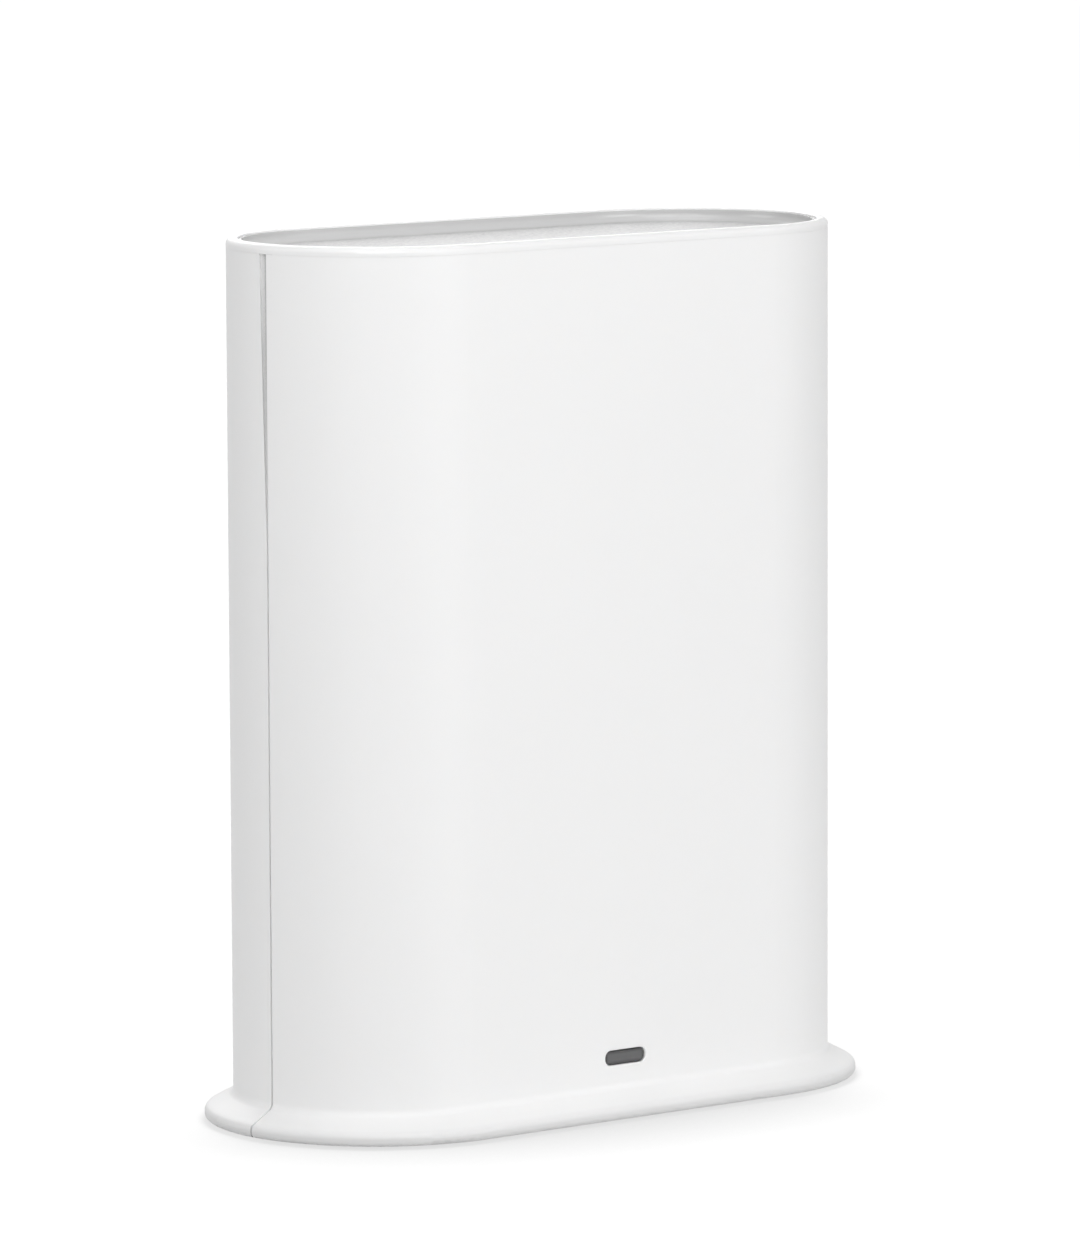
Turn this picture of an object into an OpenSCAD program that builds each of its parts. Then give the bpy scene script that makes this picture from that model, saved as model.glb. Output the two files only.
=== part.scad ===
// Base station for wireless security cameras: an upright rounded-end body on a flared foot.
// Millimetres. Front is -Y, back is +Y, up is +Z, and the floor is Z = 0 under the middle of the foot.

/* [Body] */
// Width of the upright body, from end to end
body_w = 132; // [122:1:160]
// Depth of the upright body, from front to back
body_d = 57; // [54:1:72]
// Height from the floor to the top of the lip
body_h = 170; // [162:1:220]
// Thickness of the shell walls
wall = 2.2; // [1.8:0.1:3]
// How far in front of the middle the two shells meet, on the body's outside
part_off = 3.2; // [0:0.1:4]
// Gap left round pieces that fit into each other without moving
fit = 0.1; // [0.05:0.01:0.2]

/* [Seam] */
// Width of the seam groove
seam_w = 0.4; // [0.2:0.05:0.8]
// Depth of the seam groove
seam_deep = 0.7; // [0.5:0.05:1]
// Height at which the shallow step beside the groove begins
step_from = 105; // [80:1:130]
// Width of that step at the top of the body
step_w = 1.8; // [0.8:0.1:2.4]
// Depth of that step
step_deep = 0.35; // [0.15:0.05:0.45]
// How far the tongue of the rear shell reaches past the seam
tongue_l = 2.5; // [1.5:0.1:5]
// Thickness of that tongue
tongue_t = 1.3; // [0.8:0.1:2]

/* [Foot] */
// How far the foot's flange stands out past the body
flange_out = 5.5; // [4:0.5:9]
// Height of the flange's upright edge
flange_edge = 2.2; // [2:0.1:4]
// Slope of the flare above that edge, in degrees
flare_slope = 28; // [20:1:40]
// Radius of the hollow where the flare runs into the body
flare_fillet = 1.6; // [0.8:0.1:4]
// Radius of the flange's upper edge
flange_round = 1.3; // [0.5:0.1:1.7]
// Radius of the flange's lower edge
edge_round = 1; // [0.2:0.1:1.2]
// Width of the flange's rim outside the base plate
rim = 1.8; // [1.2:0.1:3]
// Thickness of the base plate
plate_t = 1.8; // [1.5:0.1:2]
// Radius of the base plate's lower edge
plate_round = 0.4; // [0.2:0.05:0.8]
// Diameter of a rubber foot
foot_d = 11; // [8:0.5:14]
// Thickness of a rubber foot
foot_t = 1.3; // [1:0.1:1.6]
// How far a rubber foot stands out under the base plate
foot_proud = 0.5; // [0.3:0.1:1]
// Distance of the feet from the middle, along the width
foot_x = 36; // [30:1:44]
// Gap between a foot and the edge of the base plate
foot_edge = 3; // [2:0.5:6]
// Number of vent slots in the base plate
vent_n = 9; // [3:2:9]
// Distance from one vent slot to the next
vent_pitch = 6; // [5:0.5:6]
// Width of a vent slot
vent_w = 2; // [1.5:0.1:3]
// Length of a vent slot
vent_l = 26; // [14:1:30]

/* [Top] */
// Width of the lip round the top
lip_w = 2.3; // [2:0.1:4]
// Radius of the lip's outer edge
lip_round_out = 1.1; // [0.4:0.1:1.4]
// Radius of the lip's inner edge
lip_round_in = 0.3; // [0.2:0.1:0.8]
// Height of the bezel above the shells
bezel_h = 1.8; // [1.5:0.1:4]
// Height of the bezel's skirt inside the shells
skirt_h = 5; // [4.5:0.1:8]
// Thickness of that skirt
skirt_t = 1; // [0.8:0.1:1.2]
// Depth of the recess in the top
recess = 2.5; // [1.5:0.1:3]
// Thickness of the top panel's floor
panel_t = 1.6; // [1:0.1:2]
// Thickness of the top panel's raised edge
panel_edge = 0.6; // [0.5:0.1:1.2]
// How far that edge ends below the lip
panel_drop = 0.3; // [0.2:0.1:1.4]
// Radius of the hollow between the panel's floor and its edge
panel_hollow = 1.5; // [0.5:0.1:1.6]
// Width of the bezel's ledge under the panel
ledge_w = 2.5; // [1.5:0.1:4]
// Thickness of that ledge
ledge_t = 1.4; // [1:0.1:2]

/* [Status window] */
// Width of the window
win_w = 9.7; // [7:0.1:12]
// Height of the window
win_h = 2.9; // [2.7:0.1:4]
// Radius of the window's corners
win_r = 1.3; // [0.6:0.05:1.35]
// Height of the window's middle above the floor
win_z = 11.6; // [11:0.1:12]
// Radius of the window's rim
win_round = 0.3; // [0.1:0.05:0.4]
// Gap round the lens
lens_gap = 0.2; // [0.1:0.01:0.3]
// How far the lens is set back from the front
lens_sink = 0.3; // [0.1:0.05:0.6]
// How far the lens's flange reaches past the window
lens_lap = 1.2; // [0.8:0.1:1.6]
// Thickness of the lens's flange
lens_flange = 0.8; // [0.5:0.1:1.2]
// Height of the light guide
guide_h = 2; // [1.4:0.1:2.4]
// Width of the light guide
guide_w = 8; // [6:0.1:8.4]

/* [Port bay] */
// Depth of the bay in the back
bay_deep = 2.5; // [1.5:0.1:3.5]
// Height of the bay
bay_h = 20; // [19:0.5:24]
// Radius of the bay's corners
bay_r = 3; // [1:0.5:5]
// Radius of the bay's rim
bay_round = 0.8; // [0.3:0.1:1]
// Radius of the hollow round the bay's floor
bay_hollow = 0.8; // [0.3:0.1:1.2]
// Distance from the outer ports to the ends of the bay
bay_margin = 3; // [2.6:0.1:3.2]
// Radius of the rims of the holes in the bay's floor
hole_round = 0.3; // [0.1:0.05:0.4]
// Height of the ports' middle above the floor
port_z = 23; // [22:0.5:30]
// Gap between neighbouring ports
port_gap = 4.5; // [4:0.1:5]
// Height of the ports above the board
port_h = 16.6; // [15:0.1:18]
// How far the ports are set back from the bay's floor
port_sink = 0.4; // [0.2:0.1:0.8]
// Gap round a port in its cut-out
port_clear = 0.25; // [0.15:0.05:0.5]

/* [Ports] */
// Width of the Ethernet jack
eth_w = 16.2; // [15.5:0.1:17]
// Height of the Ethernet jack
eth_h = 13.6; // [13.2:0.1:14.4]
// Width of the Ethernet plug's way in
eth_in_w = 11.9; // [11.7:0.1:12.2]
// Height of the Ethernet plug's way in
eth_in_h = 6.9; // [6.6:0.1:7.1]
// Depth of the Ethernet plug's way in
eth_in_d = 12.6; // [12:0.1:13]
// Distance from one Ethernet contact to the next
eth_pitch = 1.02; // [1:0.01:1.1]
// Height of the Ethernet plug's way in above the jack's middle
eth_up = 0.8; // [0.6:0.05:1]
// Width of the way in for the plug's latch
latch_w = 6.4; // [6.2:0.1:6.6]
// Depth of the way in for the plug's latch, below the plug
latch_h = 1.9; // [1.7:0.1:2]
// Width of the latch's key
key_w = 4; // [3.4:0.1:4.4]
// Depth of the latch's key, below the plug
key_h = 2.8; // [2.6:0.1:2.9]
// Width of a light window in the Ethernet jack
lamp_w = 2.8; // [2.2:0.1:3]
// Height of a light window
lamp_h = 2; // [1.6:0.1:2.2]
// Length of a light window
lamp_l = 3; // [2:0.1:4]
// Distance of the light windows from the jack's edges
lamp_edge = 0.9; // [0.7:0.05:1.1]
// Width of the USB socket
usb_w = 13.1; // [13:0.1:13.6]
// Height of the USB socket
usb_h = 5.8; // [5.6:0.1:6.2]
// Thickness of the USB socket's sheet
usb_t = 0.35; // [0.25:0.05:0.4]
// Radius of the USB socket's corners
usb_r = 0.8; // [0.7:0.05:1]
// Depth of the USB socket's way in
tongue_deep = 9.4; // [9:0.1:10]
// Width of the USB socket's tongue
strip_w = 11.1; // [10.8:0.1:11.4]
// Thickness of the USB socket's tongue
strip_h = 1.9; // [1.8:0.05:2.1]
// How far the tongue is above the middle of the socket
strip_up = 0.9; // [0.8:0.05:1]
// Thickness of a USB contact
usb_contact = 0.2; // [0.15:0.05:0.3]
// Width of the power jack
jack_w = 9; // [8.5:0.1:10]
// Height of the power jack
jack_h = 10.6; // [9.5:0.1:12]
// Diameter of the power jack's nose
jack_nose = 7.6; // [7.4:0.1:8.2]
// Diameter of the power jack's bore
jack_bore = 6.2; // [5.8:0.1:6.4]
// Depth of the power jack's bore
jack_deep = 10.4; // [9:0.1:12]
// Diameter of the power jack's pin
pin_d = 2; // [1.6:0.1:2.5]

/* [Buttons] */
// Diameter of the sync button
sync_d = 9; // [7:0.1:10]
// How far the sync button stands out of the bay's floor
sync_proud = 0.6; // [0.3:0.1:1.2]
// Depth of the dish in the sync button's top
sync_dish = 0.3; // [0.1:0.05:0.4]
// Radius of the sync button's edge
sync_round = 0.5; // [0.2:0.05:0.6]
// Travel of the sync button
sync_travel = 0.6; // [0.3:0.05:0.8]
// Diameter of the pinhole in front of the reset plunger
reset_hole = 2; // [1.4:0.1:2.4]
// Diameter of the reset plunger
reset_d = 3; // [2.6:0.1:3.4]
// Travel of the reset plunger
reset_travel = 0.3; // [0.2:0.05:0.5]
// Gap round a moving button or plunger
run_gap = 0.1; // [0.06:0.01:0.2]
// Width of a switch body
switch_w = 6; // [6:0.1:6.5]
// Height of a switch body
switch_h = 3.5; // [3.2:0.1:4.5]
// Diameter of the sync switch's plunger
plunger_d = 3.4; // [2.6:0.1:3.6]

/* [Board] */
// Gap between the main board and each end of the body
board_end = 21; // [19:0.5:22]
// Height of the main board
board_h = 110; // [106:1:112]
// Thickness of the main board
board_t = 1.6; // [1:0.1:2]
// Radius of a screw boss
boss_r = 3.2; // [3:0.1:3.6]
// Diameter of the screws
screw_d = 2.6; // [2.2:0.1:3]
// Diameter of a screw's head
head_d = 4.8; // [4.4:0.1:5]
// Height of a screw's head
head_h = 1.8; // [1.4:0.1:2]
// Length of a screw under its head
screw_l = 9; // [7:0.5:11]
// Distance from the board's edges to the board screws
screw_in = 5; // [4:0.1:6]
// How far the board reaches below the status light
board_low = 3.4; // [3:0.1:3.6]
// Diameter of a coax lead
coax_d = 1.1; // [0.8:0.1:1.2]
// Length of the side antennas
ant_l = 46; // [40:1:48]
// Width of the antennas
ant_w = 10; // [8:0.5:11]
// Thickness of the antennas
ant_t = 0.8; // [0.6:0.1:1.2]
// Gap between the board and the side antennas
ant_gap = 5; // [3:0.5:6]
// Distance from the top of the board to the middle of the side antennas
ant_drop = 15; // [10:1:20]
// Length of the upper antenna
ant_top_l = 48; // [40:1:52]
// Distance from the top of the shells to the upper antenna
ant_top_drop = 24; // [18:1:26]
// Distance from an antenna's ends to its posts
ant_post = 5; // [3.5:0.5:7]
// Radius of an antenna's corners
ant_r = 1; // [0.5:0.1:2]

/* [Board parts] */
// Height of the heat sink's middle above the board's lower edge
sink_up = 62; // [58:1:66]
// Side of the heat sink
sink_w = 40; // [36:1:42]
// Thickness of the heat sink's plate
sink_t = 2; // [1.5:0.1:3]
// Height of the heat sink's fins
fin_h = 7; // [4:0.5:12]
// Thickness of a fin
fin_t = 1; // [0.8:0.1:1.2]
// Number of fins
fin_n = 9; // [5:2:11]
// Side of the main chip
chip_w = 15; // [12:0.5:18]
// Thickness of the main chip
chip_t = 1.4; // [1:0.1:2]
// Thickness of the soft pad on the main chip
pad_t = 0.5; // [0.3:0.1:1]
// How far the pad ends inside the chip's edges
pad_in = 0.5; // [0.2:0.1:2]
// Distance from the heat sink's edges to its push pins
push_in = 4; // [3.6:0.1:6]
// Diameter of a push pin
push_d = 3; // [2.4:0.1:3.4]
// Diameter of a push pin's head
push_head = 6; // [5:0.1:6.4]
// Thickness of a push pin's head
push_t = 1.5; // [1:0.1:2]
// How far a push pin stands out behind the board
push_end = 1.2; // [0.6:0.1:2]
// Room round a push pin's head between the fins
push_room = 1; // [0.6:0.1:1.4]
// Width of a memory chip
mem_w = 9; // [8:0.5:10]
// Height of a memory chip
mem_h = 12; // [10:0.5:14]
// Thickness of a memory chip
mem_t = 1.1; // [0.8:0.1:1.4]
// Gap between the heat sink and the memory chips
mem_gap = 2.5; // [2:0.1:4]
// Distance from one memory chip to the next
mem_pitch = 28; // [24:1:30]
// Width of the boot chip on the heat sink's other side
boot_w = 6; // [5:0.5:7]
// Height of the boot chip
boot_h = 5; // [4:0.5:7]
// Thickness of the boot chip
boot_t = 0.9; // [0.7:0.1:1.4]
// Gap between the heat sink and the boot chip
boot_gap = 4; // [3:0.5:5]
// Width of a shield can
can_w = 27; // [22:1:28]
// Height of a shield can
can_h = 20; // [16:1:21]
// Thickness of a shield can
can_t = 2.6; // [2:0.1:4]
// Gap between the two shield cans
can_gap = 13; // [10:0.5:14]
// Distance from the shield cans to the top of the board
can_drop = 4; // [3:0.5:5]
// Width of the Ethernet transformer
trans_w = 12; // [10:0.5:14]
// Height of the Ethernet transformer
trans_h = 9; // [7:0.5:11]
// Thickness of the Ethernet transformer
trans_t = 5.6; // [4:0.1:7]
// Height of the Ethernet transformer above its jack
trans_up = 7.5; // [5:0.5:9]
// Diameter of a can capacitor
cap_d = 6.3; // [5:0.1:6.6]
// Length of a can capacitor
cap_l = 7.7; // [5:0.1:9]
// Height of the first capacitor above the ports' middle
cap_up = 8; // [7:0.5:9]
// Distance from one capacitor to the next
cap_pitch = 9; // [8:0.5:10]
// Side of a power coil
coil_w = 7; // [6:0.5:8]
// Thickness of a power coil
coil_t = 4; // [3:0.1:5]
// Distance from one power coil to the next
coil_pitch = 10; // [9:0.5:11]
// Height of the power coils above the ports' middle
coil_up = 10; // [8:0.5:12]

/* [Hidden] */
$fn = 64;
// Radius of the body's ends, and half the length of its flat sides
r = body_d / 2;
a = (body_w - body_d) / 2;
// Heights of the foot and the top
z_bot = foot_proud;
z_edge = z_bot + flange_edge;
z_slope = z_edge + flange_out * tan(flare_slope);
z_shell = body_h - bezel_h;
z_panel = body_h - recess - panel_t;
// Turn of the seam planes about the ends' axes, and half the turn across the groove
seam_turn = asin(part_off / r);
groove_turn = atan(seam_w / 2 / r);
plate_r = r + flange_out - rim;
// Screw bosses beside the base plate's cups
cup_sink = 0.7;
cup_t = 1.5;
cup_h = head_h + cup_sink + cup_t;
boss_gap = 0.6;
boss_top = 7;
boss_h = screw_l + boss_top;
boss_k = r - wall - boss_r - boss_gap;
web_t = 1.4;
// Ribs inside the shells
rib_t = 1.2;
rib_deep = 2;
rib_low = 8;
rib_short = 40;
// Depth positions of the bay, the ports and the board
y_bay = r - bay_deep;
y_bay_in = y_bay - wall;
y_port = y_bay - port_sink;
board_back = y_port - port_h;
board_front = board_back - board_t;
// Places of the ports along the bay
bay_w = 2 * bay_margin + jack_w + eth_w + usb_w + sync_d + reset_d + 4 * port_gap;
x_power = -bay_w / 2 + bay_margin + jack_w / 2;
x_eth = x_power + jack_w / 2 + port_gap + eth_w / 2;
x_usb = x_eth + eth_w / 2 + port_gap + usb_w / 2;
x_sync = x_usb + usb_w / 2 + port_gap + sync_d / 2;
x_reset = x_sync + sync_d / 2 + port_gap + reset_d / 2;
lamp_x = eth_w / 2 - lamp_edge - lamp_w / 2;
lamp_z = port_z - eth_h / 2 + lamp_edge + lamp_h / 2;
// Board heights and screw places
board_z = win_z - board_low;
board_w = body_w - 2 * board_end;
board_top = board_z + board_h;
screw_x = board_w / 2 - screw_in;
screw_gap = 1.5;
screw_z = [port_z + bay_h / 2 + wall + boss_r + screw_gap, board_top - screw_in];
// Middle of the heat sink, and the layers under it
sink_z = board_z + sink_up;
push_k = sink_w / 2 - push_in;
y_sink = board_front - chip_t - pad_t;
// Antennas and their leads
ant_x = board_w / 2 + ant_gap + ant_w / 2;
ant_z = board_top - ant_drop;
ant_top_z = z_shell - ant_top_drop;
stake_end = 0.5;
post_r = 2.2;
stake_d = 1.8;
coax_y = board_front - coax_d / 2 - fit;
plug_d = 2.6;
plug_h = 1.3;
plug_in = 6;
plug_drop = 8;
plug_x = board_w / 2 - plug_in;
plug_z = sink_z + plug_d;
plug_top_z = board_top - plug_drop;
bend = 4;
coax_in = 3;
coax_lap = 10;
coax_step = 14;
// Light guide and its rests
guide_y0 = -r + wall + lens_flange;
led_h = 0.8;
led_w = 3.2;
led_l = 1.6;
led_y = board_front - led_h;
rest_gap = 0.4;
rest_x = win_w / 2 + lens_lap + rest_gap;
rest_t = 1.8;
rest_l = 16;
rest_z = win_z - guide_h / 2;
rest_low = z_bot + cup_h + rib_deep;
ear_in = 11;
ear_l = 4;
ear_t = 1.5;
peg_d = 1.2;
ear_y = -r + wall + ear_in;
// Sync button stack
collar_d = sync_d + 2;
collar_t = 1;
guide_ring = 3;
plunger_up = 1.5;

// Unit vector along v
function unit(v) = v / norm(v);
// The two base screws in front of (side -1) or behind (side 1) the middle
function base_spots(side) = [for (s = [-1, 1]) [s * (a + boss_k * cos(45)), side * boss_k * sin(45)]];
// The four board screws
function board_spots() = [for (x = [-screw_x, screw_x]) for (z = screw_z) [x, z]];
// The four feet
function foot_spots() =
  [for (x = [-foot_x, foot_x]) for (s = [-1, 1]) [x, s * (plate_r - foot_edge - foot_d / 2)]];

// Where a radius at the corner p runs out along the edges d1 and d2
function ends(p, d1, d2, radius) =
  let (t = radius / tan(acos(unit(d1) * unit(d2)) / 2)) [p + t * unit(d1), p + t * unit(d2)];
// The middle of that radius
function middle(p, d1, d2, radius) =
  p + radius / sin(acos(unit(d1) * unit(d2)) / 2) * unit(unit(d1) + unit(d2));

// What a radius adds to, or takes from, a corner at p with edges along d1 and d2
module corner(p, d1, d2, radius) {
  difference() {
    polygon(concat([p], ends(p, d1, d2, radius)));
    translate(middle(p, d1, d2, radius)) circle(radius);
  }
}

// What a radius leaves of a corner at p, outside the line between the radius's ends
module bulge(p, d1, d2, radius) {
  e = ends(p, d1, d2, radius);
  out = -radius * unit(unit(d1) + unit(d2));
  intersection() {
    polygon([e[0], e[1], e[1] + out, e[0] + out]);
    translate(middle(p, d1, d2, radius)) circle(radius);
  }
}

// Flat-sided outline with round ends
module stadium(rad) {
  square([2 * a, 2 * rad], center = true);
  for (s = [-1, 1]) translate([s * a, 0]) circle(rad);
}

// Carries a profile (distance from the middle line, height) round the body's outline
module stadium_sweep() {
  for (s = [-1, 1])
    translate([s * a, 0, 0]) rotate([0, 0, -90 * s]) rotate_extrude(angle = 180) children();
  for (turn = [0, 180])
    rotate([0, 0, turn]) translate([-a, 0, 0]) rotate([90, 0, 90]) linear_extrude(2 * a) children();
}

// Raises an outline drawn as (x, z) from depth y0 to depth y1
module along_y(y0, y1) {
  translate([0, y1, 0]) rotate([90, 0, 0]) linear_extrude(y1 - y0) children();
}

// Round rod along Y
module rod(p, y0, y1, d) {
  along_y(y0, y1) translate(p) circle(d = d);
}

// Box along Y with its middle at p
module block(p, size, y0, y1) {
  along_y(y0, y1) translate(p) square(size, center = true);
}

// Rectangle with round corners
module rounded(w, h, rad) {
  square([w, h - 2 * rad], center = true);
  square([w - 2 * rad, h], center = true);
  for (x = [-1, 1])
    for (z = [-1, 1])
      translate([x * (w / 2 - rad), z * (h / 2 - rad)]) circle(rad);
}

// Carries a profile (distance from the corners' axes, depth) round a rectangle with round corners
module rounded_sweep(w, h, rad, y0, y1) {
  x = w / 2 - rad;
  z = h / 2 - rad;
  for (k = [0 : 3])
    translate([(k == 0 || k == 3 ? 1 : -1) * x, 0, (k < 2 ? -1 : 1) * z])
      rotate([-90, 0, 0]) rotate([0, 0, 90 * k]) rotate_extrude(angle = 90) children();
  for (turn = [0, 1]) {
    mirror([turn, 0, 0]) translate([x, 0, -z]) linear_extrude(2 * z) children();
    mirror([0, 0, turn]) translate([x, 0, z]) rotate([0, -90, 0]) linear_extrude(2 * x) children();
  }
  translate([-x, y0, -z]) cube([2 * x, y1 - y0, 2 * z]);
}

// Section of a hole along Y from y0 to the face at y1, with a round rim of radius rim_r
module hole_profile(rad, y0, y1, rim_r) {
  translate([0, y0]) square([rad, y1 - y0 + 1]);
  translate([0, y1]) square([rad + rim_r, 1]);
  corner([rad, y1], [1, 0], [0, -1], rim_r);
}

// Round hole along Y with that section
module rimmed_bore(p, y0, y1, d, rim_r) {
  translate([p[0], 0, p[1]]) rotate([-90, 0, 0]) rotate_extrude() hole_profile(d / 2, y0, y1, rim_r);
}

// Hole along Y with round corners and that section
module rimmed_slot(p, w, h, rad, y0, y1, rim_r) {
  translate([p[0], 0, p[1]]) rounded_sweep(w, h, rad, y0, y1 + 1) hole_profile(rad, y0, y1, rim_r);
}

// Section of the shells' outside, moved in by inset
module outer_profile(inset = 0) {
  rb = r - inset;
  ro = rb + flange_out;
  slope = [-flange_out, z_slope - z_edge];
  edge = ends([ro, z_edge], [0, -1], slope, flange_round);
  difference() {
    union() {
      polygon(concat([[0, z_bot], [ro, z_bot]], edge, [[rb, z_slope], [rb, z_shell], [0, z_shell]]));
      bulge([ro, z_edge], [0, -1], slope, flange_round);
      corner([rb, z_slope], [0, 1], -slope, flare_fillet);
    }
    corner([ro, z_bot], [0, 1], [-1, 0], edge_round);
  }
}

// Groove along both seams, and beside it in the rear shell a shallow step that widens towards the top
module seam_groove() {
  for (turn = [0, 1])
    mirror([turn, 0, 0]) translate([a, 0, 0]) rotate([0, 0, -seam_turn]) {
      rotate([0, 0, -groove_turn]) rotate_extrude(angle = 2 * groove_turn) difference() {
        translate([r / 2, -1]) square([r, body_h]);
        outer_profile(seam_deep);
      }
      difference() {
        translate([r / 2, 0, 0]) rotate([90, 0, 90]) linear_extrude(r)
          polygon([[0, step_from], [step_w, body_h], [0, body_h]]);
        cylinder(h = body_h, r = r - step_deep);
      }
    }
}

// Both shells in one, before they are parted
module shell_ring() {
  difference() {
    stadium_sweep() outer_profile();
    translate([0, 0, z_bot - 1]) linear_extrude(body_h) stadium(r - wall);
    translate([0, 0, z_bot - 1]) linear_extrude(plate_t + 1) stadium(plate_r);
    translate([0, 0, z_shell - skirt_h - fit])
      linear_extrude(skirt_h + fit + 1) stadium(r - lip_w + skirt_t + fit);
    seam_groove();
  }
}

// What lies in front of (side -1) or behind (side 1) the parting line from seam to seam
module half_of(side) {
  reach = 2 * body_w;
  line = [[-a - reach, -reach * tan(seam_turn)], [-a, 0], [a, 0], [a + reach, -reach * tan(seam_turn)]];
  intersection() {
    children();
    translate([0, 0, -1]) linear_extrude(body_h + 2)
      polygon(concat(line, [[a + reach, side * 2 * reach], [-a - reach, side * 2 * reach]]));
  }
}

// Trims what is inside a shell so that it runs into the wall and no further
module inside() {
  intersection() {
    children();
    translate([0, 0, z_bot + plate_t]) linear_extrude(z_shell - skirt_h - z_bot - plate_t - 1)
      stadium(r - wall / 2);
  }
}

// Boss over a base screw, with a web to the wall
module base_boss(p) {
  turn = atan2(p[1], p[0] - sign(p[0]) * a);
  translate([p[0], p[1], z_bot + cup_h]) {
    cylinder(h = boss_h, r = boss_r);
    rotate([0, 0, turn]) translate([0, -web_t / 2, 0])
      cube([boss_r + boss_gap + wall, web_t, boss_h]);
  }
}

// Pilot hole of a base screw
module base_bore(p) {
  translate([p[0], p[1], z_bot + cup_h - 1]) cylinder(h = screw_l + 2, d = screw_d + fit);
}

// Pan-head screw with a cross recess; its head's underside is at Z = 0 and it points up
module screw() {
  slot = 0.9;
  difference() {
    union() {
      translate([0, 0, -head_h]) rotate_extrude() difference() {
        square([head_d / 2, head_h]);
        corner([head_d / 2, 0], [0, 1], [-1, 0], head_h / 2);
      }
      cylinder(h = screw_l, d = screw_d);
    }
    for (turn = [0, 90])
      rotate([0, 0, turn]) translate([-head_d / 4, -slot / 2, -head_h - 1]) cube([head_d / 2, slot, 1.9]);
  }
}

// Front half of the body: window, rests of the light guide, screw bosses and ribs
module front_shell() color("#f2f2f2") {
  rib_x = a * 0.6;
  difference() {
    union() {
      half_of(-1) shell_ring();
      half_of(-1) inside() {
        for (p = base_spots(-1)) base_boss(p);
        for (s = [-1, 1])
          translate([s * (rest_x + rest_t / 2) - rest_t / 2, -r, rest_low])
            cube([rest_t, wall + rest_l, rest_z - rest_low]);
        for (s = [-1, 1])
          translate([s * rib_x - rib_t / 2, -r, win_z + rib_low])
            cube([rib_t, wall + rib_deep, body_h - rib_short]);
        for (z = [0.35, 0.62])
          translate([-a - r, -r, body_h * z]) cube([body_w, wall + rib_t, rib_t]);
      }
      for (s = [-1, 1])
        translate([s * (rest_x + rest_t / 2), ear_y, rest_z - 0.5]) cylinder(h = ear_t + 1, d = peg_d);
    }
    mirror([0, 1, 0]) rimmed_slot([0, win_z], win_w, win_h, win_r, r - wall - 1, r, win_round);
    for (p = base_spots(-1)) base_bore(p);
  }
}

// Back half of the body: port bay, board bosses, antenna posts, button guides and tongue
module rear_shell() color("#f0f0f0") {
  difference() {
    union() {
      half_of(1) shell_ring();
      half_of(1) inside() {
        for (p = base_spots(1)) base_boss(p);
        for (p = board_spots()) rod(p, board_back, r, 2 * boss_r);
        for (s = [-1, 1])
          for (k = [-1, 1])
            rod([s * ant_x, ant_z + k * (ant_l / 2 - ant_post)], board_front + ant_t, r, 2 * post_r);
        for (s = [-1, 1])
          rod([s * (ant_top_l / 2 - ant_post), ant_top_z], board_front + ant_t, r, 2 * post_r);
        for (s = [-1, 1])
          translate([s * screw_x - web_t / 2, board_back + 2 * rib_deep, screw_z[0]])
            cube([web_t, r, screw_z[1] - screw_z[0]]);
        along_y(y_bay_in, r) translate([0, port_z])
          rounded(bay_w + 2 * wall, bay_h + 2 * wall, bay_r + wall);
        rod([x_sync, port_z], y_bay_in - guide_ring, y_bay, collar_d + 2 * run_gap + 2.4);
        rod([x_reset, port_z], y_bay_in - guide_ring, y_bay, reset_d + 2 * run_gap + 2);
        seam_tongue(r - wall / 2, -part_off - 1, 2 * tongue_l);
      }
      seam_tongue(r - wall - fit, -part_off - tongue_l, tongue_l);
      for (s = [-1, 1])
        for (k = [-1, 1])
          rod([s * ant_x, ant_z + k * (ant_l / 2 - ant_post)], board_front - stake_end, board_back, stake_d);
      for (s = [-1, 1])
        rod([s * (ant_top_l / 2 - ant_post), ant_top_z], board_front - stake_end, board_back, stake_d);
    }
    translate([0, 0, port_z]) rounded_sweep(bay_w, bay_h, bay_r, y_bay, r + 1) difference() {
      hole_profile(bay_r, y_bay, r, bay_round);
      corner([bay_r, y_bay], [-1, 0], [0, 1], bay_hollow);
    }
    for (p = base_spots(1)) base_bore(p);
    for (p = board_spots()) rod(p, board_back - 1, board_back + screw_l, screw_d + fit);
    port_holes();
  }
}

// Strip inside the seam, from depth y0 to depth y1, out to the radius reach
module seam_tongue(reach, y0, y1) {
  z0 = z_bot + cup_h + boss_h;
  z1 = z_shell - skirt_h - 2;
  intersection() {
    translate([0, 0, z0]) linear_extrude(z1 - z0) difference() {
      stadium(reach);
      stadium(r - wall - tongue_t);
    }
    translate([-body_w, y0, 0]) cube([2 * body_w, y1 - y0, body_h]);
  }
}

// Ways through the floor of the port bay
module port_holes() {
  deep = y_bay_in - guide_ring - 1;
  clear = 2 * port_clear;
  eth_r = port_clear;
  usb_cut = usb_r + port_clear;
  rimmed_slot([x_eth, port_z], eth_w + clear, eth_h + clear, eth_r, deep, y_bay, hole_round);
  rimmed_slot([x_usb, port_z], usb_w + clear, usb_h + clear, usb_cut, deep, y_bay, hole_round);
  rimmed_bore([x_power, port_z], deep, y_bay, jack_nose + clear, hole_round);
  rimmed_bore([x_sync, port_z], deep, y_bay, sync_d + 2 * run_gap, hole_round);
  rod([x_sync, port_z], deep, y_bay_in, collar_d + 2 * run_gap);
  rimmed_bore([x_reset, port_z], deep, y_bay, reset_hole, hole_round);
  rod([x_reset, port_z], deep, y_bay_in, reset_d + 2 * run_gap);
}

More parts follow.
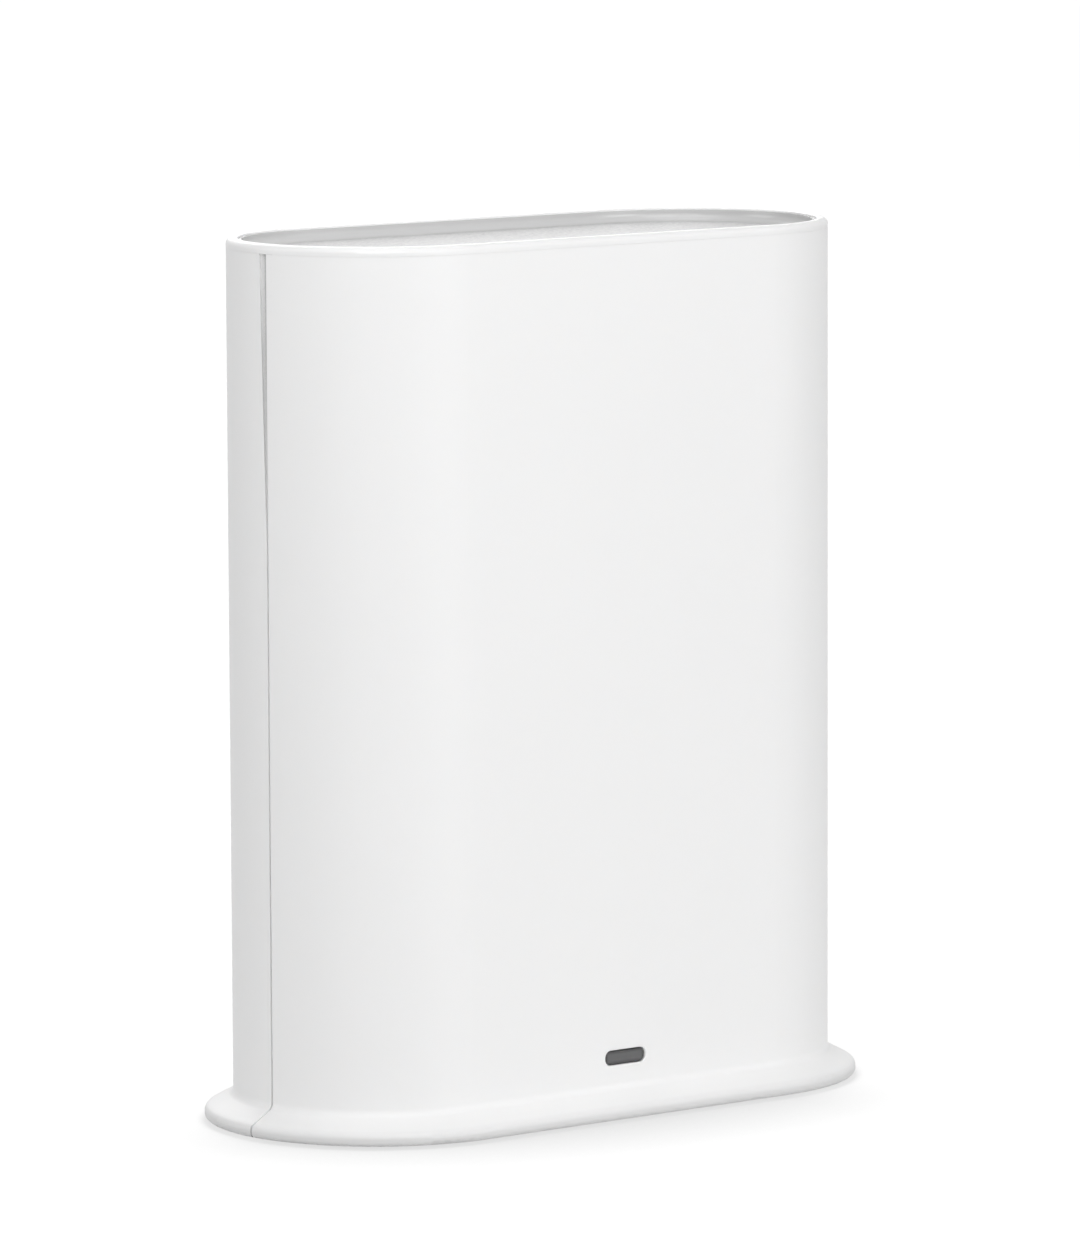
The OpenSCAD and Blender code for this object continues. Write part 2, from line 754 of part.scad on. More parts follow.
// Lip round the top, with the skirt that locks both shells and the ledge under the panel
module top_bezel() color("#f4f4f4") {
  stadium_sweep() difference() {
    union() {
      translate([r - lip_w, z_shell]) square([lip_w, bezel_h]);
      translate([r - lip_w, z_shell - skirt_h]) square([skirt_t, skirt_h]);
      translate([r - lip_w - ledge_w, z_panel - ledge_t]) square([ledge_w, ledge_t]);
    }
    corner([r, body_h], [-1, 0], [0, -1], lip_round_out);
    corner([r - lip_w, body_h], [1, 0], [0, -1], lip_round_in);
  }
}

// Shallow grey tray in the top
module top_panel() color("#d2d2d2") {
  o = r - lip_w - fit;
  stadium_sweep() union() {
    translate([0, z_panel]) square([o, panel_t]);
    translate([o - panel_edge, z_panel]) square([panel_edge, recess + panel_t - panel_drop]);
    corner([o - panel_edge, z_panel + panel_t], [-1, 0], [0, 1], panel_hollow);
  }
}

// Plate that closes the foot, with screw cups, pockets for the feet and vents
module base_plate() color("#e6e6e6") {
  spots = concat(base_spots(-1), base_spots(1));
  difference() {
    union() {
      stadium_sweep() difference() {
        translate([0, z_bot]) square([plate_r - fit, plate_t]);
        corner([plate_r - fit, z_bot], [-1, 0], [0, 1], plate_round);
      }
      for (p = spots) translate([p[0], p[1], z_bot]) cylinder(h = cup_h, r = boss_r);
    }
    for (p = spots) translate([p[0], p[1], z_bot - 1]) {
      cylinder(h = cup_h + 2, d = screw_d + 4 * fit);
      cylinder(h = cup_h - cup_t + 1, d = head_d + 6 * fit);
    }
    for (p = foot_spots())
      translate([p[0], p[1], -1]) cylinder(h = foot_t + 1, d = foot_d + 2 * fit);
    for (i = [0 : vent_n - 1])
      translate([(i - (vent_n - 1) / 2) * vent_pitch, 0, 0]) linear_extrude(z_bot + plate_t + 1)
        rounded(vent_w, vent_l, vent_w / 2 - 0.01);
  }
}

// Four round rubber pads
module rubber_feet() color("#3a3a3a") {
  for (p = foot_spots())
    translate([p[0], p[1], 0]) rotate_extrude() difference() {
      square([foot_d / 2, foot_t]);
      corner([foot_d / 2, 0], [0, 1], [-1, 0], foot_proud * 0.8);
    }
}

// Screws that hold the base plate to both shells
module base_screws() color("#9a9a9a") {
  for (p = concat(base_spots(-1), base_spots(1)))
    translate([p[0], p[1], z_bot + cup_h - cup_t]) screw();
}

// Smoked lens with a flange behind the wall
module status_window() color("#5c5c5c") {
  along_y(-r + lens_sink, -r + wall) translate([0, win_z])
    rounded(win_w - 2 * lens_gap, win_h - 2 * lens_gap, win_r - lens_gap);
  along_y(-r + wall, guide_y0) translate([0, win_z])
    rounded(win_w + 2 * lens_lap, win_h + 2 * lens_lap, win_r);
}

// Clear bar from the status light to the lens, with two ears on the front shell's rests
module light_guide() color("#e8eef0") {
  difference() {
    union() {
      along_y(guide_y0, led_y) translate([0, win_z]) rounded(guide_w, guide_h, guide_h * 0.3);
      translate([-rest_x - rest_t, ear_y - ear_l / 2, rest_z]) cube([2 * (rest_x + rest_t), ear_l, ear_t]);
    }
    for (s = [-1, 1])
      translate([s * (rest_x + rest_t / 2), ear_y, rest_z - 1]) cylinder(h = ear_t + 2, d = peg_d + fit);
  }
}

// Light on the front of the board
module status_light() color("#f5f0d8") {
  block([0, win_z], [led_w, led_l], led_y, board_front);
}

// Board parallel to the back, with the ports on its back side
module main_board() color("#1f5c3a") {
  difference() {
    along_y(board_front, board_back) translate([0, board_top - board_h / 2]) rounded(board_w, board_h, 2);
    for (p = board_spots()) rod(p, board_front - 1, board_back + 1, screw_d + 4 * fit);
    for (s = [-1, 1])
      rod([s * push_k, sink_z + s * push_k], board_front - 1, board_back + 1, push_d + 2 * fit);
  }
}

// Screws that hold the board to the rear shell
module board_screws() color("#9a9a9a") {
  for (p = board_spots())
    translate([p[0], board_front, p[1]]) rotate([-90, 0, 0]) screw();
}

// Upright jack with a stepped way in for the plug's latch
module ethernet_jack() color("#1c1c1e") {
  z0 = port_z - eth_in_h / 2 + eth_up;
  y0 = y_port - eth_in_d;
  difference() {
    block([x_eth, port_z], [eth_w, eth_h], board_back, y_port);
    block([x_eth, z0 + eth_in_h / 2], [eth_in_w, eth_in_h], y0, y_port + 1);
    block([x_eth, z0 + (1 - latch_h) / 2], [latch_w, latch_h + 1], y0, y_port + 1);
    block([x_eth, z0 + (1 - key_h) / 2], [key_w, key_h + 1], y0, y_port + 1);
    for (i = [0 : 7])
      block([x_eth + (i - 3.5) * eth_pitch, z0 + eth_in_h], [0.6, 2.4], y0, y_port - 1.2);
    for (s = [-1, 1])
      block([x_eth + s * lamp_x, lamp_z], [lamp_w, lamp_h], y_port - lamp_l, y_port + 1);
  }
}

// Eight spring wires that lean back into the jack
module ethernet_contacts() color("#d9b24a") {
  z = port_z + eth_in_h / 2 + eth_up;
  d = eth_in_d;
  for (i = [0 : 7])
    translate([x_eth + (i - 3.5) * eth_pitch - 0.2, y_port, 0]) rotate([90, 0, 90]) linear_extrude(0.4)
      polygon([[-d, z + 0.85], [-2.6, z + 0.85], [-2.4, z + 0.5], [-d + 2, z - 2.4],
        [-d + 1.8, z - 2.05], [-3.9, z + 0.5], [-d, z + 0.5]]);
}

// Two light windows in the jack's face
module ethernet_lights() color("#b8c8a0") {
  for (s = [-1, 1])
    block([x_eth + s * lamp_x, lamp_z], [lamp_w - fit, lamp_h - fit], y_port - lamp_l, y_port - fit);
}

// Folded sheet round the USB tongue
module usb_socket() color("#c4c6c8") {
  along_y(board_back, y_port) translate([x_usb, port_z]) difference() {
    rounded(usb_w, usb_h, usb_r);
    rounded(usb_w - 2 * usb_t, usb_h - 2 * usb_t, usb_r - usb_t);
  }
}

// Insulator that fills the socket's back and carries the tongue
module usb_tongue() color("#202124") {
  along_y(board_back, y_port - tongue_deep) translate([x_usb, port_z])
    rounded(usb_w - 2 * usb_t - 2 * fit, usb_h - 2 * usb_t - 2 * fit, usb_r - usb_t - fit);
  block([x_usb, port_z + strip_up], [strip_w, strip_h], y_port - tongue_deep, y_port - 2 * port_sink);
}

// Four contact strips under the tongue
module usb_contacts() color("#d9b24a") {
  for (x = [-3.5, -1, 1, 3.5])
    block([x_usb + x, port_z + strip_up - strip_h / 2 - usb_contact / 2], [1, usb_contact],
      y_port - tongue_deep, y_port - 2 * port_sink - 1);
}

// Upright power jack with a round nose in the bay's floor
module power_jack() color("#1c1c1e") {
  difference() {
    union() {
      block([x_power, port_z], [jack_w, jack_h], board_back, y_bay_in - port_sink);
      translate([x_power, 0, port_z]) rotate([-90, 0, 0]) rotate_extrude() difference() {
        translate([0, board_back]) square([jack_nose / 2, y_port - board_back]);
        corner([jack_nose / 2, y_port], [-1, 0], [0, -1], hole_round);
      }
    }
    rimmed_bore([x_power, port_z], y_port - jack_deep, y_port, jack_bore, hole_round);
  }
}

// Round-ended pin in the power jack
module power_pin() color("#c8c9cb") {
  tip = y_port - 0.9 - pin_d / 2;
  rod([x_power, port_z], y_port - jack_deep, tip, pin_d);
  translate([x_power, tip, port_z]) sphere(d = pin_d);
}

// Round button with a collar behind the bay's floor and a stem to its switch
module sync_button() color("#e4e4e4") {
  top = y_bay + sync_proud;
  y0 = y_bay_in - 0.05;
  dish_w = sync_d / 2 - 1.5 * sync_round;
  dish_r = (dish_w * dish_w + sync_dish * sync_dish) / (2 * sync_dish);
  translate([x_sync, 0, port_z]) rotate([-90, 0, 0]) rotate_extrude() difference() {
    union() {
      translate([0, y0 - collar_t]) square([collar_d / 2, collar_t]);
      translate([0, y0 - collar_t]) square([sync_d / 2, top - y0 + collar_t]);
      translate([0, board_back + switch_h + plunger_up])
        square([1.8, y0 - collar_t - board_back - switch_h - plunger_up]);
    }
    corner([sync_d / 2, top], [-1, 0], [0, -1], sync_round);
    translate([0, top + dish_r - sync_dish]) circle(dish_r);
  }
}

// Plunger of the sync switch, which moves with the button
module sync_plunger() color("#3c2a20") {
  rod([x_sync, port_z], board_back + 1 + sync_travel + 0.1, board_back + switch_h + plunger_up, plunger_d);
}

// Body of the sync switch on the back of the board
module sync_switch() color("#2a2a2c") {
  difference() {
    block([x_sync, port_z], [switch_w, switch_w], board_back, board_back + switch_h);
    rod([x_sync, port_z], board_back + 1, board_back + switch_h + 1, plunger_d + 2 * run_gap);
  }
}

// Tall plunger of the reset switch, pressed with a pin through the pinhole
module reset_plunger() color("#3c2a20") {
  rod([x_reset, port_z], board_back + 1 + reset_travel + 0.1, y_bay_in - 0.6, reset_d);
}

// Body of the reset switch on the back of the board
module reset_switch() color("#2a2a2c") {
  difference() {
    block([x_reset, port_z], [switch_w, switch_w], board_back, board_back + switch_h);
    rod([x_reset, port_z], board_back + 1, board_back + switch_h + 1, reset_d + 2 * run_gap);
  }
}

// Main chip under the heat sink
module processor() color("#26282b") {
  block([0, sink_z], [chip_w, chip_w], board_front - chip_t, board_front);
}

// Soft pad between the chip and the heat sink
module thermal_pad() color("#8fa3b0") {
  side = chip_w - 2 * pad_in;
  block([0, sink_z], [side, side], y_sink, board_front - chip_t);
}

// Finned plate with room for its two pins
module heat_sink() color("#b9bcc0") {
  step = (sink_w - fin_t) / (fin_n - 1);
  difference() {
    union() {
      block([0, sink_z], [sink_w, sink_w], y_sink - sink_t, y_sink);
      for (i = [0 : fin_n - 1])
        block([-sink_w / 2 + fin_t / 2 + i * step, sink_z], [fin_t, sink_w], y_sink - sink_t - fin_h, y_sink);
    }
    for (s = [-1, 1]) {
      p = [s * push_k, sink_z + s * push_k];
      rod(p, y_sink - sink_t - 1, y_sink + 1, push_d + 2 * fit);
      rod(p, y_sink - sink_t - fin_h - 1, y_sink - sink_t, push_head + 2 * push_room);
    }
  }
}

// Two push pins through the heat sink and the board
module sink_pins() color("#efefef") {
  for (s = [-1, 1]) {
    p = [s * push_k, sink_z + s * push_k];
    rod(p, y_sink - sink_t - push_t, y_sink - sink_t, push_head);
    rod(p, y_sink - sink_t, board_back + push_end, push_d);
  }
}

// Memory chips beside the heat sink
module memory_chips() color("#26282b") {
  for (s = [-1, 1])
    block([sink_w / 2 + mem_gap + mem_w / 2, sink_z + s * mem_pitch / 2 - pad_t], [mem_w, mem_h],
      board_front - mem_t, board_front);
  block([-sink_w / 2 - boot_gap - boot_w / 2, sink_z - mem_pitch / 2], [boot_w, boot_h],
    board_front - boot_t, board_front);
}

// Two folded cans over the radios
module shield_cans() color("#c2c4c6") {
  for (s = [-1, 1])
    block([s * (can_gap + can_w) / 2, board_top - can_drop - can_h / 2], [can_w, can_h],
      board_front - can_t, board_front);
}

// Transformer block in front of the Ethernet jack
module ethernet_transformer() color("#1e1e20") {
  block([x_eth, port_z + eth_h / 2 + trans_up + trans_h / 2], [trans_w, trans_h],
    board_front - trans_t, board_front);
}

// Can capacitors near the power jack
module capacitors() color("#7d8288") {
  for (p = [[0, 0], [0, 1], [1, -0.5]])
    rod([x_power, port_z + cap_up] + cap_pitch * p, board_front - cap_l, board_front, cap_d);
}

// Power coils
module inductors() color("#3d3d40") {
  for (i = [0, 1])
    block([x_usb + usb_w / 2 + coil_w / 2 + i * coil_pitch, port_z + coil_up], [coil_w, coil_w],
      board_front - coil_t, board_front);
}

// Strip antenna with two holes for the posts
module antenna(p, size, holes) {
  difference() {
    along_y(board_front, board_front + ant_t) translate(p) rounded(size[0], size[1], ant_r);
    for (h = holes) rod(p + h, board_front - 1, board_front + ant_t + 1, stake_d + 2 * fit);
  }
}

// Side antenna on its two posts
module antenna_side(s) {
  antenna([s * ant_x, ant_z], [ant_w, ant_l], [for (k = [-1, 1]) [0, k * (ant_l / 2 - ant_post)]]);
}

module antenna_left() color("#c9a15a") antenna_side(-1);

module antenna_right() color("#c9a15a") antenna_side(1);

// Upper antenna, under the top
module antenna_top() color("#c9a15a") {
  antenna([0, ant_top_z], [ant_top_l, ant_w], [for (k = [-1, 1]) [k * (ant_top_l / 2 - ant_post), 0]]);
}

// Quarter bend of a lead about c, from the angle start in the X-Z plane
module coax_bend(c, start) {
  translate([c[0], coax_y, c[1]]) rotate([90, 0, 0]) rotate([0, 0, start])
    rotate_extrude(angle = 90) translate([bend, 0]) circle(d = coax_d);
}

// Upright run of a lead
module coax_up(x, z0, z1) {
  translate([x, coax_y, z0]) cylinder(h = z1 - z0, d = coax_d);
}

// Lead from a side antenna down and across to its plug
module coax_side() {
  x = ant_x - coax_in;
  coax_up(x, plug_z + bend, ant_z - ant_l / 2 + coax_lap);
  coax_bend([x - bend, plug_z + bend], -90);
  translate([plug_x + plug_d / 2, coax_y, plug_z]) rotate([0, 90, 0])
    cylinder(h = x - bend - plug_x - plug_d / 2, d = coax_d);
}

module coax_left() color("#2b2b2b") mirror([1, 0, 0]) coax_side();

module coax_right() color("#2b2b2b") coax_side();

// Lead from the upper antenna down to its plug, with an offset half way
module coax_top() color("#2b2b2b") {
  z = plug_top_z + coax_step;
  coax_up(2 * bend, z + bend, ant_top_z + coax_d);
  coax_bend([bend, z + bend], -90);
  coax_bend([bend, z - bend], 90);
  coax_up(0, plug_top_z + plug_d / 2, z - bend);
}

// Snap-on plugs at the ends of the leads
module coax_plugs() color("#d0b060") {
  for (p = [[-plug_x, plug_z], [plug_x, plug_z], [0, plug_top_z]])
    rod(p, board_front - plug_h, board_front, plug_d);
}

front_shell();
rear_shell();
top_bezel();
top_panel();
base_plate();
rubber_feet();
base_screws();
status_window();
light_guide();
status_light();
main_board();
board_screws();
ethernet_jack();
ethernet_contacts();
ethernet_lights();
usb_socket();
usb_tongue();
usb_contacts();
power_jack();
power_pin();
sync_button();
sync_plunger();
sync_switch();
reset_plunger();
reset_switch();
processor();
thermal_pad();
heat_sink();
sink_pins();
memory_chips();
shield_cans();
ethernet_transformer();
capacitors();
inductors();
antenna_left();
antenna_right();
antenna_top();
coax_left();
coax_right();
coax_top();
coax_plugs();
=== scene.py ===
"""Looks of an upright base station for wireless security cameras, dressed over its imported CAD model.

Blender's units are metres, and the sizes written here are millimetres. Front is -Y, back is +Y, up is +Z,
and the floor is Z = 0 under the middle of the foot.
"""

import functools
import logging
import math
from dataclasses import dataclass, field
from enum import Enum
from typing import Any

import bmesh
import bpy
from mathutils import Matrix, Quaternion, Vector


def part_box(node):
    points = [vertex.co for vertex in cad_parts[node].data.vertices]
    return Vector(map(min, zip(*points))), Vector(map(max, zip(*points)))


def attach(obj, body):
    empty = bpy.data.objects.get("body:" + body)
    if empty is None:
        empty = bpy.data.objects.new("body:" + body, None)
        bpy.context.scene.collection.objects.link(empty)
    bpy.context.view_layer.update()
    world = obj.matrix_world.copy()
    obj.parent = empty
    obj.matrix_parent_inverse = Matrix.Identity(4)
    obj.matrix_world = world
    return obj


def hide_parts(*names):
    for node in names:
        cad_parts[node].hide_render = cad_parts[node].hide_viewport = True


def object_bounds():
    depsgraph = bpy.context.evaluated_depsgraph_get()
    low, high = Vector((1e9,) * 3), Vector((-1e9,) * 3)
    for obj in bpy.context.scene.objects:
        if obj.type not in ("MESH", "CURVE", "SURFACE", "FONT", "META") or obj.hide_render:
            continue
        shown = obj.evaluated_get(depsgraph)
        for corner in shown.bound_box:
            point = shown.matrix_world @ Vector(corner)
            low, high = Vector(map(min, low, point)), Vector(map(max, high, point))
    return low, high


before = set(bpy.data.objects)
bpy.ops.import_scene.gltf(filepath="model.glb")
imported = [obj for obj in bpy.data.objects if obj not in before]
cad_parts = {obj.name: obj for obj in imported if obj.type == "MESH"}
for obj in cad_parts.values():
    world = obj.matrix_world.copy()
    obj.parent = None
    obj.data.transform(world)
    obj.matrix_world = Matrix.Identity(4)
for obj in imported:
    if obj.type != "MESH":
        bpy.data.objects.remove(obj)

LOG = logging.getLogger("base_station")
MM = 0.001
CAD_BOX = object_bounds()
MIDDLE = (CAD_BOX[0] + CAD_BOX[1]) / 2
# The body that carries every piece added here.
HOUSING = "housing"
# Edges that turn further than this stay sharp in the shading.
SHARP_EDGE = math.radians(50)
WHITE = (1.0, 1.0, 1.0, 1.0)


class Way(Enum):
    """Direction in which a surface was drawn, rolled or extruded."""

    X = 0
    Y = 1
    Z = 2


class Section(Enum):
    """Outline of a wire or strip, as the power that squares an oval."""

    ROUND = 1.0
    FLAT = 0.35


def linear(colour: str) -> tuple[float, float, float, float]:
    """Turns an sRGB hex colour into linear light.

    Args:
        colour: Six hex digits after a hash sign.

    Returns:
        Linear red, green and blue, and an alpha of one.
    """
    parts = (int(colour[i:i + 2], 16) / 255 for i in (1, 3, 5))
    red, green, blue = (c / 12.92 if c <= 0.04045 else ((c + 0.055) / 1.055) ** 2.4 for c in parts)
    return red, green, blue, 1.0


def per_mm(size: float) -> float:
    """Scale of a texture whose features are that many millimetres across."""
    return 1.0 / (size * MM)


def add(tree: bpy.types.NodeTree, kind: str, inputs: dict | None = None, **settings: Any) -> bpy.types.Node:
    """Adds one node with its settings, values and links.

    Args:
        tree: Node tree that gets the node.
        kind: Type name of the node.
        inputs: For each input, by name or number, a value or the output socket that feeds it.
        settings: Properties of the node itself.

    Returns:
        The new node.
    """
    node = tree.nodes.new(kind)
    for key, value in settings.items():
        setattr(node, key, value)
    for key, value in (inputs or {}).items():
        if isinstance(value, bpy.types.NodeSocket):
            tree.links.new(value, node.inputs[key])
        else:
            node.inputs[key].default_value = value
    return node


@dataclass(frozen=True)
class Bare:
    """A material before its pattern: its nodes, where a point lies, and the softened edges."""

    material: bpy.types.Material
    tree: bpy.types.NodeTree
    shader: bpy.types.Node
    place: bpy.types.NodeSocket
    edge: bpy.types.NodeSocket

    def tint(self, share: bpy.types.NodeSocket, colour: str) -> None:
        """Lays a colour over part of what the material already has.

        Args:
            share: Share of the new colour, from 0 to 1.
            colour: The new colour as sRGB hex.
        """
        base = self.shader.inputs["Base Color"]
        mix = add(self.tree, "ShaderNodeMix", {
            0: share, 6: base.links[0].from_socket, 7: linear(colour)}, data_type="RGBA")
        self.tree.links.new(mix.outputs[2], base)


@dataclass(frozen=True)
class Finish:
    """What every finish has: a name, two close colours, gloss and how far its edges are broken.

    Sizes are millimetres. The gloss swings about the roughness with the relief, over a stretch of it.
    """

    name: str
    colour: str
    shade: str
    roughness: float
    ior: float = 1.5
    gloss_swing: float = 0.05
    swing_over: tuple[float, float] = (0.3, 0.7)
    edge: float = 0.12
    edge_rays: int = 6

    def make(self) -> bpy.types.Material:
        """Makes the material. Each kind of finish lays its own pattern."""
        raise NotImplementedError

    def start(self) -> Bare:
        """Makes the material without its pattern.

        Returns:
            The bare material.
        """
        material = bpy.data.materials.new(self.name)
        material.use_nodes = True
        material.diffuse_color = linear(self.colour)
        tree = material.node_tree
        tree.nodes.clear()
        shader = add(tree, "ShaderNodeBsdfPrincipled", {
            "Base Color": linear(self.colour), "Roughness": self.roughness, "IOR": self.ior})
        add(tree, "ShaderNodeOutputMaterial", {"Surface": shader.outputs[0]})
        place = add(tree, "ShaderNodeTexCoord").outputs["Object"]
        edge = add(tree, "ShaderNodeBevel", {"Radius": self.edge * MM}, samples=self.edge_rays).outputs[0]
        return Bare(material, tree, shader, place, edge)

    def lay(self, bare: Bare, blotch: bpy.types.NodeSocket, relief: bpy.types.NodeSocket,
            height: float) -> None:
        """Lays colour, gloss and relief on the shader.

        Args:
            bare: Material that gets them.
            blotch: Share of the second colour, from 0 to 1.
            relief: Lie of the surface, from 0 to 1.
            height: Height of that relief in millimetres.
        """
        tree = bare.tree
        tint = add(tree, "ShaderNodeMix", {
            0: blotch, 6: linear(self.colour), 7: linear(self.shade)}, data_type="RGBA")
        gloss = add(tree, "ShaderNodeMapRange", {
            "Value": relief, "From Min": self.swing_over[0], "From Max": self.swing_over[1],
            "To Min": self.roughness - self.gloss_swing, "To Max": self.roughness + self.gloss_swing})
        skin = add(tree, "ShaderNodeBump", {
            "Height": relief, "Normal": bare.edge, "Strength": 1.0, "Distance": height * MM})
        tree.links.new(tint.outputs[2], bare.shader.inputs["Base Color"])
        tree.links.new(gloss.outputs[0], bare.shader.inputs["Roughness"])
        tree.links.new(skin.outputs[0], bare.shader.inputs["Normal"])


@dataclass(frozen=True)
class MouldedPlastic(Finish):
    """Plastic from a spark-eroded tool: a satin grain, faintly clouded where the melt flowed."""

    grain: float = 0.7
    grain_height: float = 0.004
    cloud: float = 38.0
    glow: float = 0.0
    glow_depth: float = 0.6
    glow_spread: tuple[float, float, float] = (1.0, 0.9, 0.8)

    def make(self) -> bpy.types.Material:
        """Makes the plastic."""
        return self.mould().material

    def mould(self) -> Bare:
        """Lays the grain and the clouding.

        Returns:
            The material with its nodes.
        """
        bare = self.start()
        grain = add(bare.tree, "ShaderNodeTexNoise", {
            "Vector": bare.place, "Scale": per_mm(self.grain), "Detail": 3.0, "Roughness": 0.6})
        cloud = add(bare.tree, "ShaderNodeTexNoise", {
            "Vector": bare.place, "Scale": per_mm(self.cloud), "Detail": 2.0, "Roughness": 0.5})
        self.lay(bare, cloud.outputs[0], grain.outputs[0], self.grain_height)
        bare.shader.inputs["Subsurface Weight"].default_value = self.glow
        bare.shader.inputs["Subsurface Radius"].default_value = self.glow_spread
        bare.shader.inputs["Subsurface Scale"].default_value = self.glow_depth * MM
        return bare


@dataclass(frozen=True)
class ShellPlastic(MouldedPlastic):
    """The shells' plastic, with painted shade in the open part of the seam and on the rim of the foot.

    The seam's painted shade fades across it along Y and gathers up its height, and the rim's painted shade
    fades with its height.
    """

    # Colour of the painted shade in the seam and on the rim of the foot.
    painted_shade: str = "#a2a2a2"
    seam_reach: float = 3.0
    seam_rays: int = 12
    seam_open: tuple[float, float] = (0.93, 0.99)
    seam_across: tuple[float, float] = (-3.0, -1.5)
    seam_band: float = 2.0
    seam_up: tuple[float, float] = (114.0, 150.0)
    rim: tuple[float, float] = (1.7, 3.4)
    rim_shade_share: float = 0.34

    def make(self) -> bpy.types.Material:
        """Makes the plastic with its painted shade.

        Returns:
            The material.
        """
        bare = self.mould()
        tree = bare.tree
        at = add(tree, "ShaderNodeSeparateXYZ", {0: bare.place}).outputs
        # Painted shade in the seam: the base colour darkens where the shells close in, across the step and up
        # the body.
        gap = add(tree, "ShaderNodeAmbientOcclusion", {
            "Distance": self.seam_reach * MM}, samples=self.seam_rays).outputs["AO"]
        closed = add(tree, "ShaderNodeMapRange", {
            "Value": gap, "From Min": self.seam_open[0], "From Max": self.seam_open[1],
            "To Min": 1.0, "To Max": 0.0}).outputs[0]
        across = add(tree, "ShaderNodeMapRange", {
            "Value": at["Y"], "From Min": self.seam_across[0] * MM, "From Max": self.seam_across[1] * MM,
            "To Min": 1.0, "To Max": 0.0}).outputs[0]
        up = add(tree, "ShaderNodeMapRange", {
            "Value": at["Z"], "From Min": self.seam_up[0] * MM, "From Max": self.seam_up[1] * MM}).outputs[0]
        beside = add(tree, "ShaderNodeMath", {
            0: at["Y"], 1: self.seam_across[0] * MM, 2: self.seam_band * MM}, operation="COMPARE").outputs[0]
        near = add(tree, "ShaderNodeMath", {0: across, 1: beside}, operation="MULTIPLY").outputs[0]
        wide = add(tree, "ShaderNodeMath", {0: near, 1: up}, operation="MULTIPLY").outputs[0]
        seam_shade = add(tree, "ShaderNodeMath", {0: closed, 1: wide}, operation="MULTIPLY").outputs[0]
        # Painted shade on the foot's rim: the base colour darkens towards the floor.
        rim_shade = add(tree, "ShaderNodeMapRange", {
            "Value": at["Z"], "From Min": self.rim[0] * MM, "From Max": self.rim[1] * MM,
            "To Min": self.rim_shade_share, "To Max": 0.0}).outputs[0]
        painted_shade_share = add(tree, "ShaderNodeMath", {0: seam_shade, 1: rim_shade}, operation="MAXIMUM").outputs[0]
        bare.tint(painted_shade_share, self.painted_shade)
        return bare.material


@dataclass(frozen=True)
class ClearPlastic(Finish):
    """Polished see-through plastic, with the faint waves of its flow."""

    clearness: float = 1.0
    wave: float = 2.5
    wave_height: float = 0.003

    def make(self) -> bpy.types.Material:
        """Makes the plastic."""
        return self.pour().material

    def pour(self) -> Bare:
        """Lays the waves and lets light through.

        Returns:
            The material with its nodes.
        """
        bare = self.start()
        flow = add(bare.tree, "ShaderNodeTexNoise", {
            "Vector": bare.place, "Scale": per_mm(self.wave), "Detail": 2.0, "Distortion": 0.8})
        self.lay(bare, flow.outputs[0], flow.outputs[0], self.wave_height)
        bare.shader.inputs["Transmission Weight"].default_value = self.clearness
        return bare


@dataclass(frozen=True)
class SmokedWindow(ClearPlastic):
    """Smoked plastic with painted shade along its rim, for the light that enters and is lost in the wall
    round it.
    """

    face: tuple[float, float] = (9.7, 2.9)
    rim: float = 0.85
    # Colour of the painted shade along the rim.
    rim_shade_colour: str = "#1a1a1b"

    def make(self) -> bpy.types.Material:
        """Makes the plastic with the painted shade along its rim.

        Returns:
            The material.
        """
        bare = self.pour()
        tree = bare.tree
        low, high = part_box("status_window")
        off = add(tree, "ShaderNodeVectorMath", {0: bare.place, 1: (low + high) / 2}, operation="SUBTRACT")
        out = add(tree, "ShaderNodeVectorMath", {0: off.outputs[0]}, operation="ABSOLUTE")
        at = add(tree, "ShaderNodeSeparateXYZ", {0: out.outputs[0]}).outputs
        ends, edges = (add(tree, "ShaderNodeMapRange", {
            "Value": at[way], "From Min": (size / 2 - self.rim) * MM, "From Max": size / 2 * MM}).outputs[0]
            for way, size in zip("XZ", self.face))
        near = add(tree, "ShaderNodeMath", {0: ends, 1: edges}, operation="MAXIMUM").outputs[0]
        bare.tint(near, self.rim_shade_colour)
        return bare.material


@dataclass(frozen=True)
class MouldedRubber(Finish):
    """Rubber pressed in a blasted tool: matt, pebbled and greyed a little by talc."""

    pebble: float = 0.5
    pebble_height: float = 0.03
    talc: float = 4.0

    def make(self) -> bpy.types.Material:
        """Makes the rubber.

        Returns:
            The material.
        """
        bare = self.start()
        pebble = add(bare.tree, "ShaderNodeTexVoronoi", {
            "Vector": bare.place, "Scale": per_mm(self.pebble)}, feature="SMOOTH_F1")
        talc = add(bare.tree, "ShaderNodeTexNoise", {
            "Vector": bare.place, "Scale": per_mm(self.talc), "Detail": 5.0, "Roughness": 0.7})
        self.lay(bare, talc.outputs[0], pebble.outputs[0], self.pebble_height)
        return bare.material


@dataclass(frozen=True)
class Metal(Finish):
    """Bare or plated metal with fine lines along the way it was worked."""

    line: float = 0.3
    along: Way = Way.Y
    stretch: float = 25.0
    line_height: float = 0.002

    def make(self) -> bpy.types.Material:
        """Makes the metal.

        Returns:
            The material.
        """
        bare = self.start()
        squeeze = [1.0, 1.0, 1.0]
        squeeze[self.along.value] = 1.0 / self.stretch
        worked = add(bare.tree, "ShaderNodeMapping", {"Vector": bare.place, "Scale": squeeze})
        lines = add(bare.tree, "ShaderNodeTexNoise", {
            "Vector": worked.outputs[0], "Scale": per_mm(self.line), "Detail": 4.0, "Roughness": 0.65})
        self.lay(bare, lines.outputs[0], lines.outputs[0], self.line_height)
        bare.shader.inputs["Metallic"].default_value = 1.0
        return bare.material


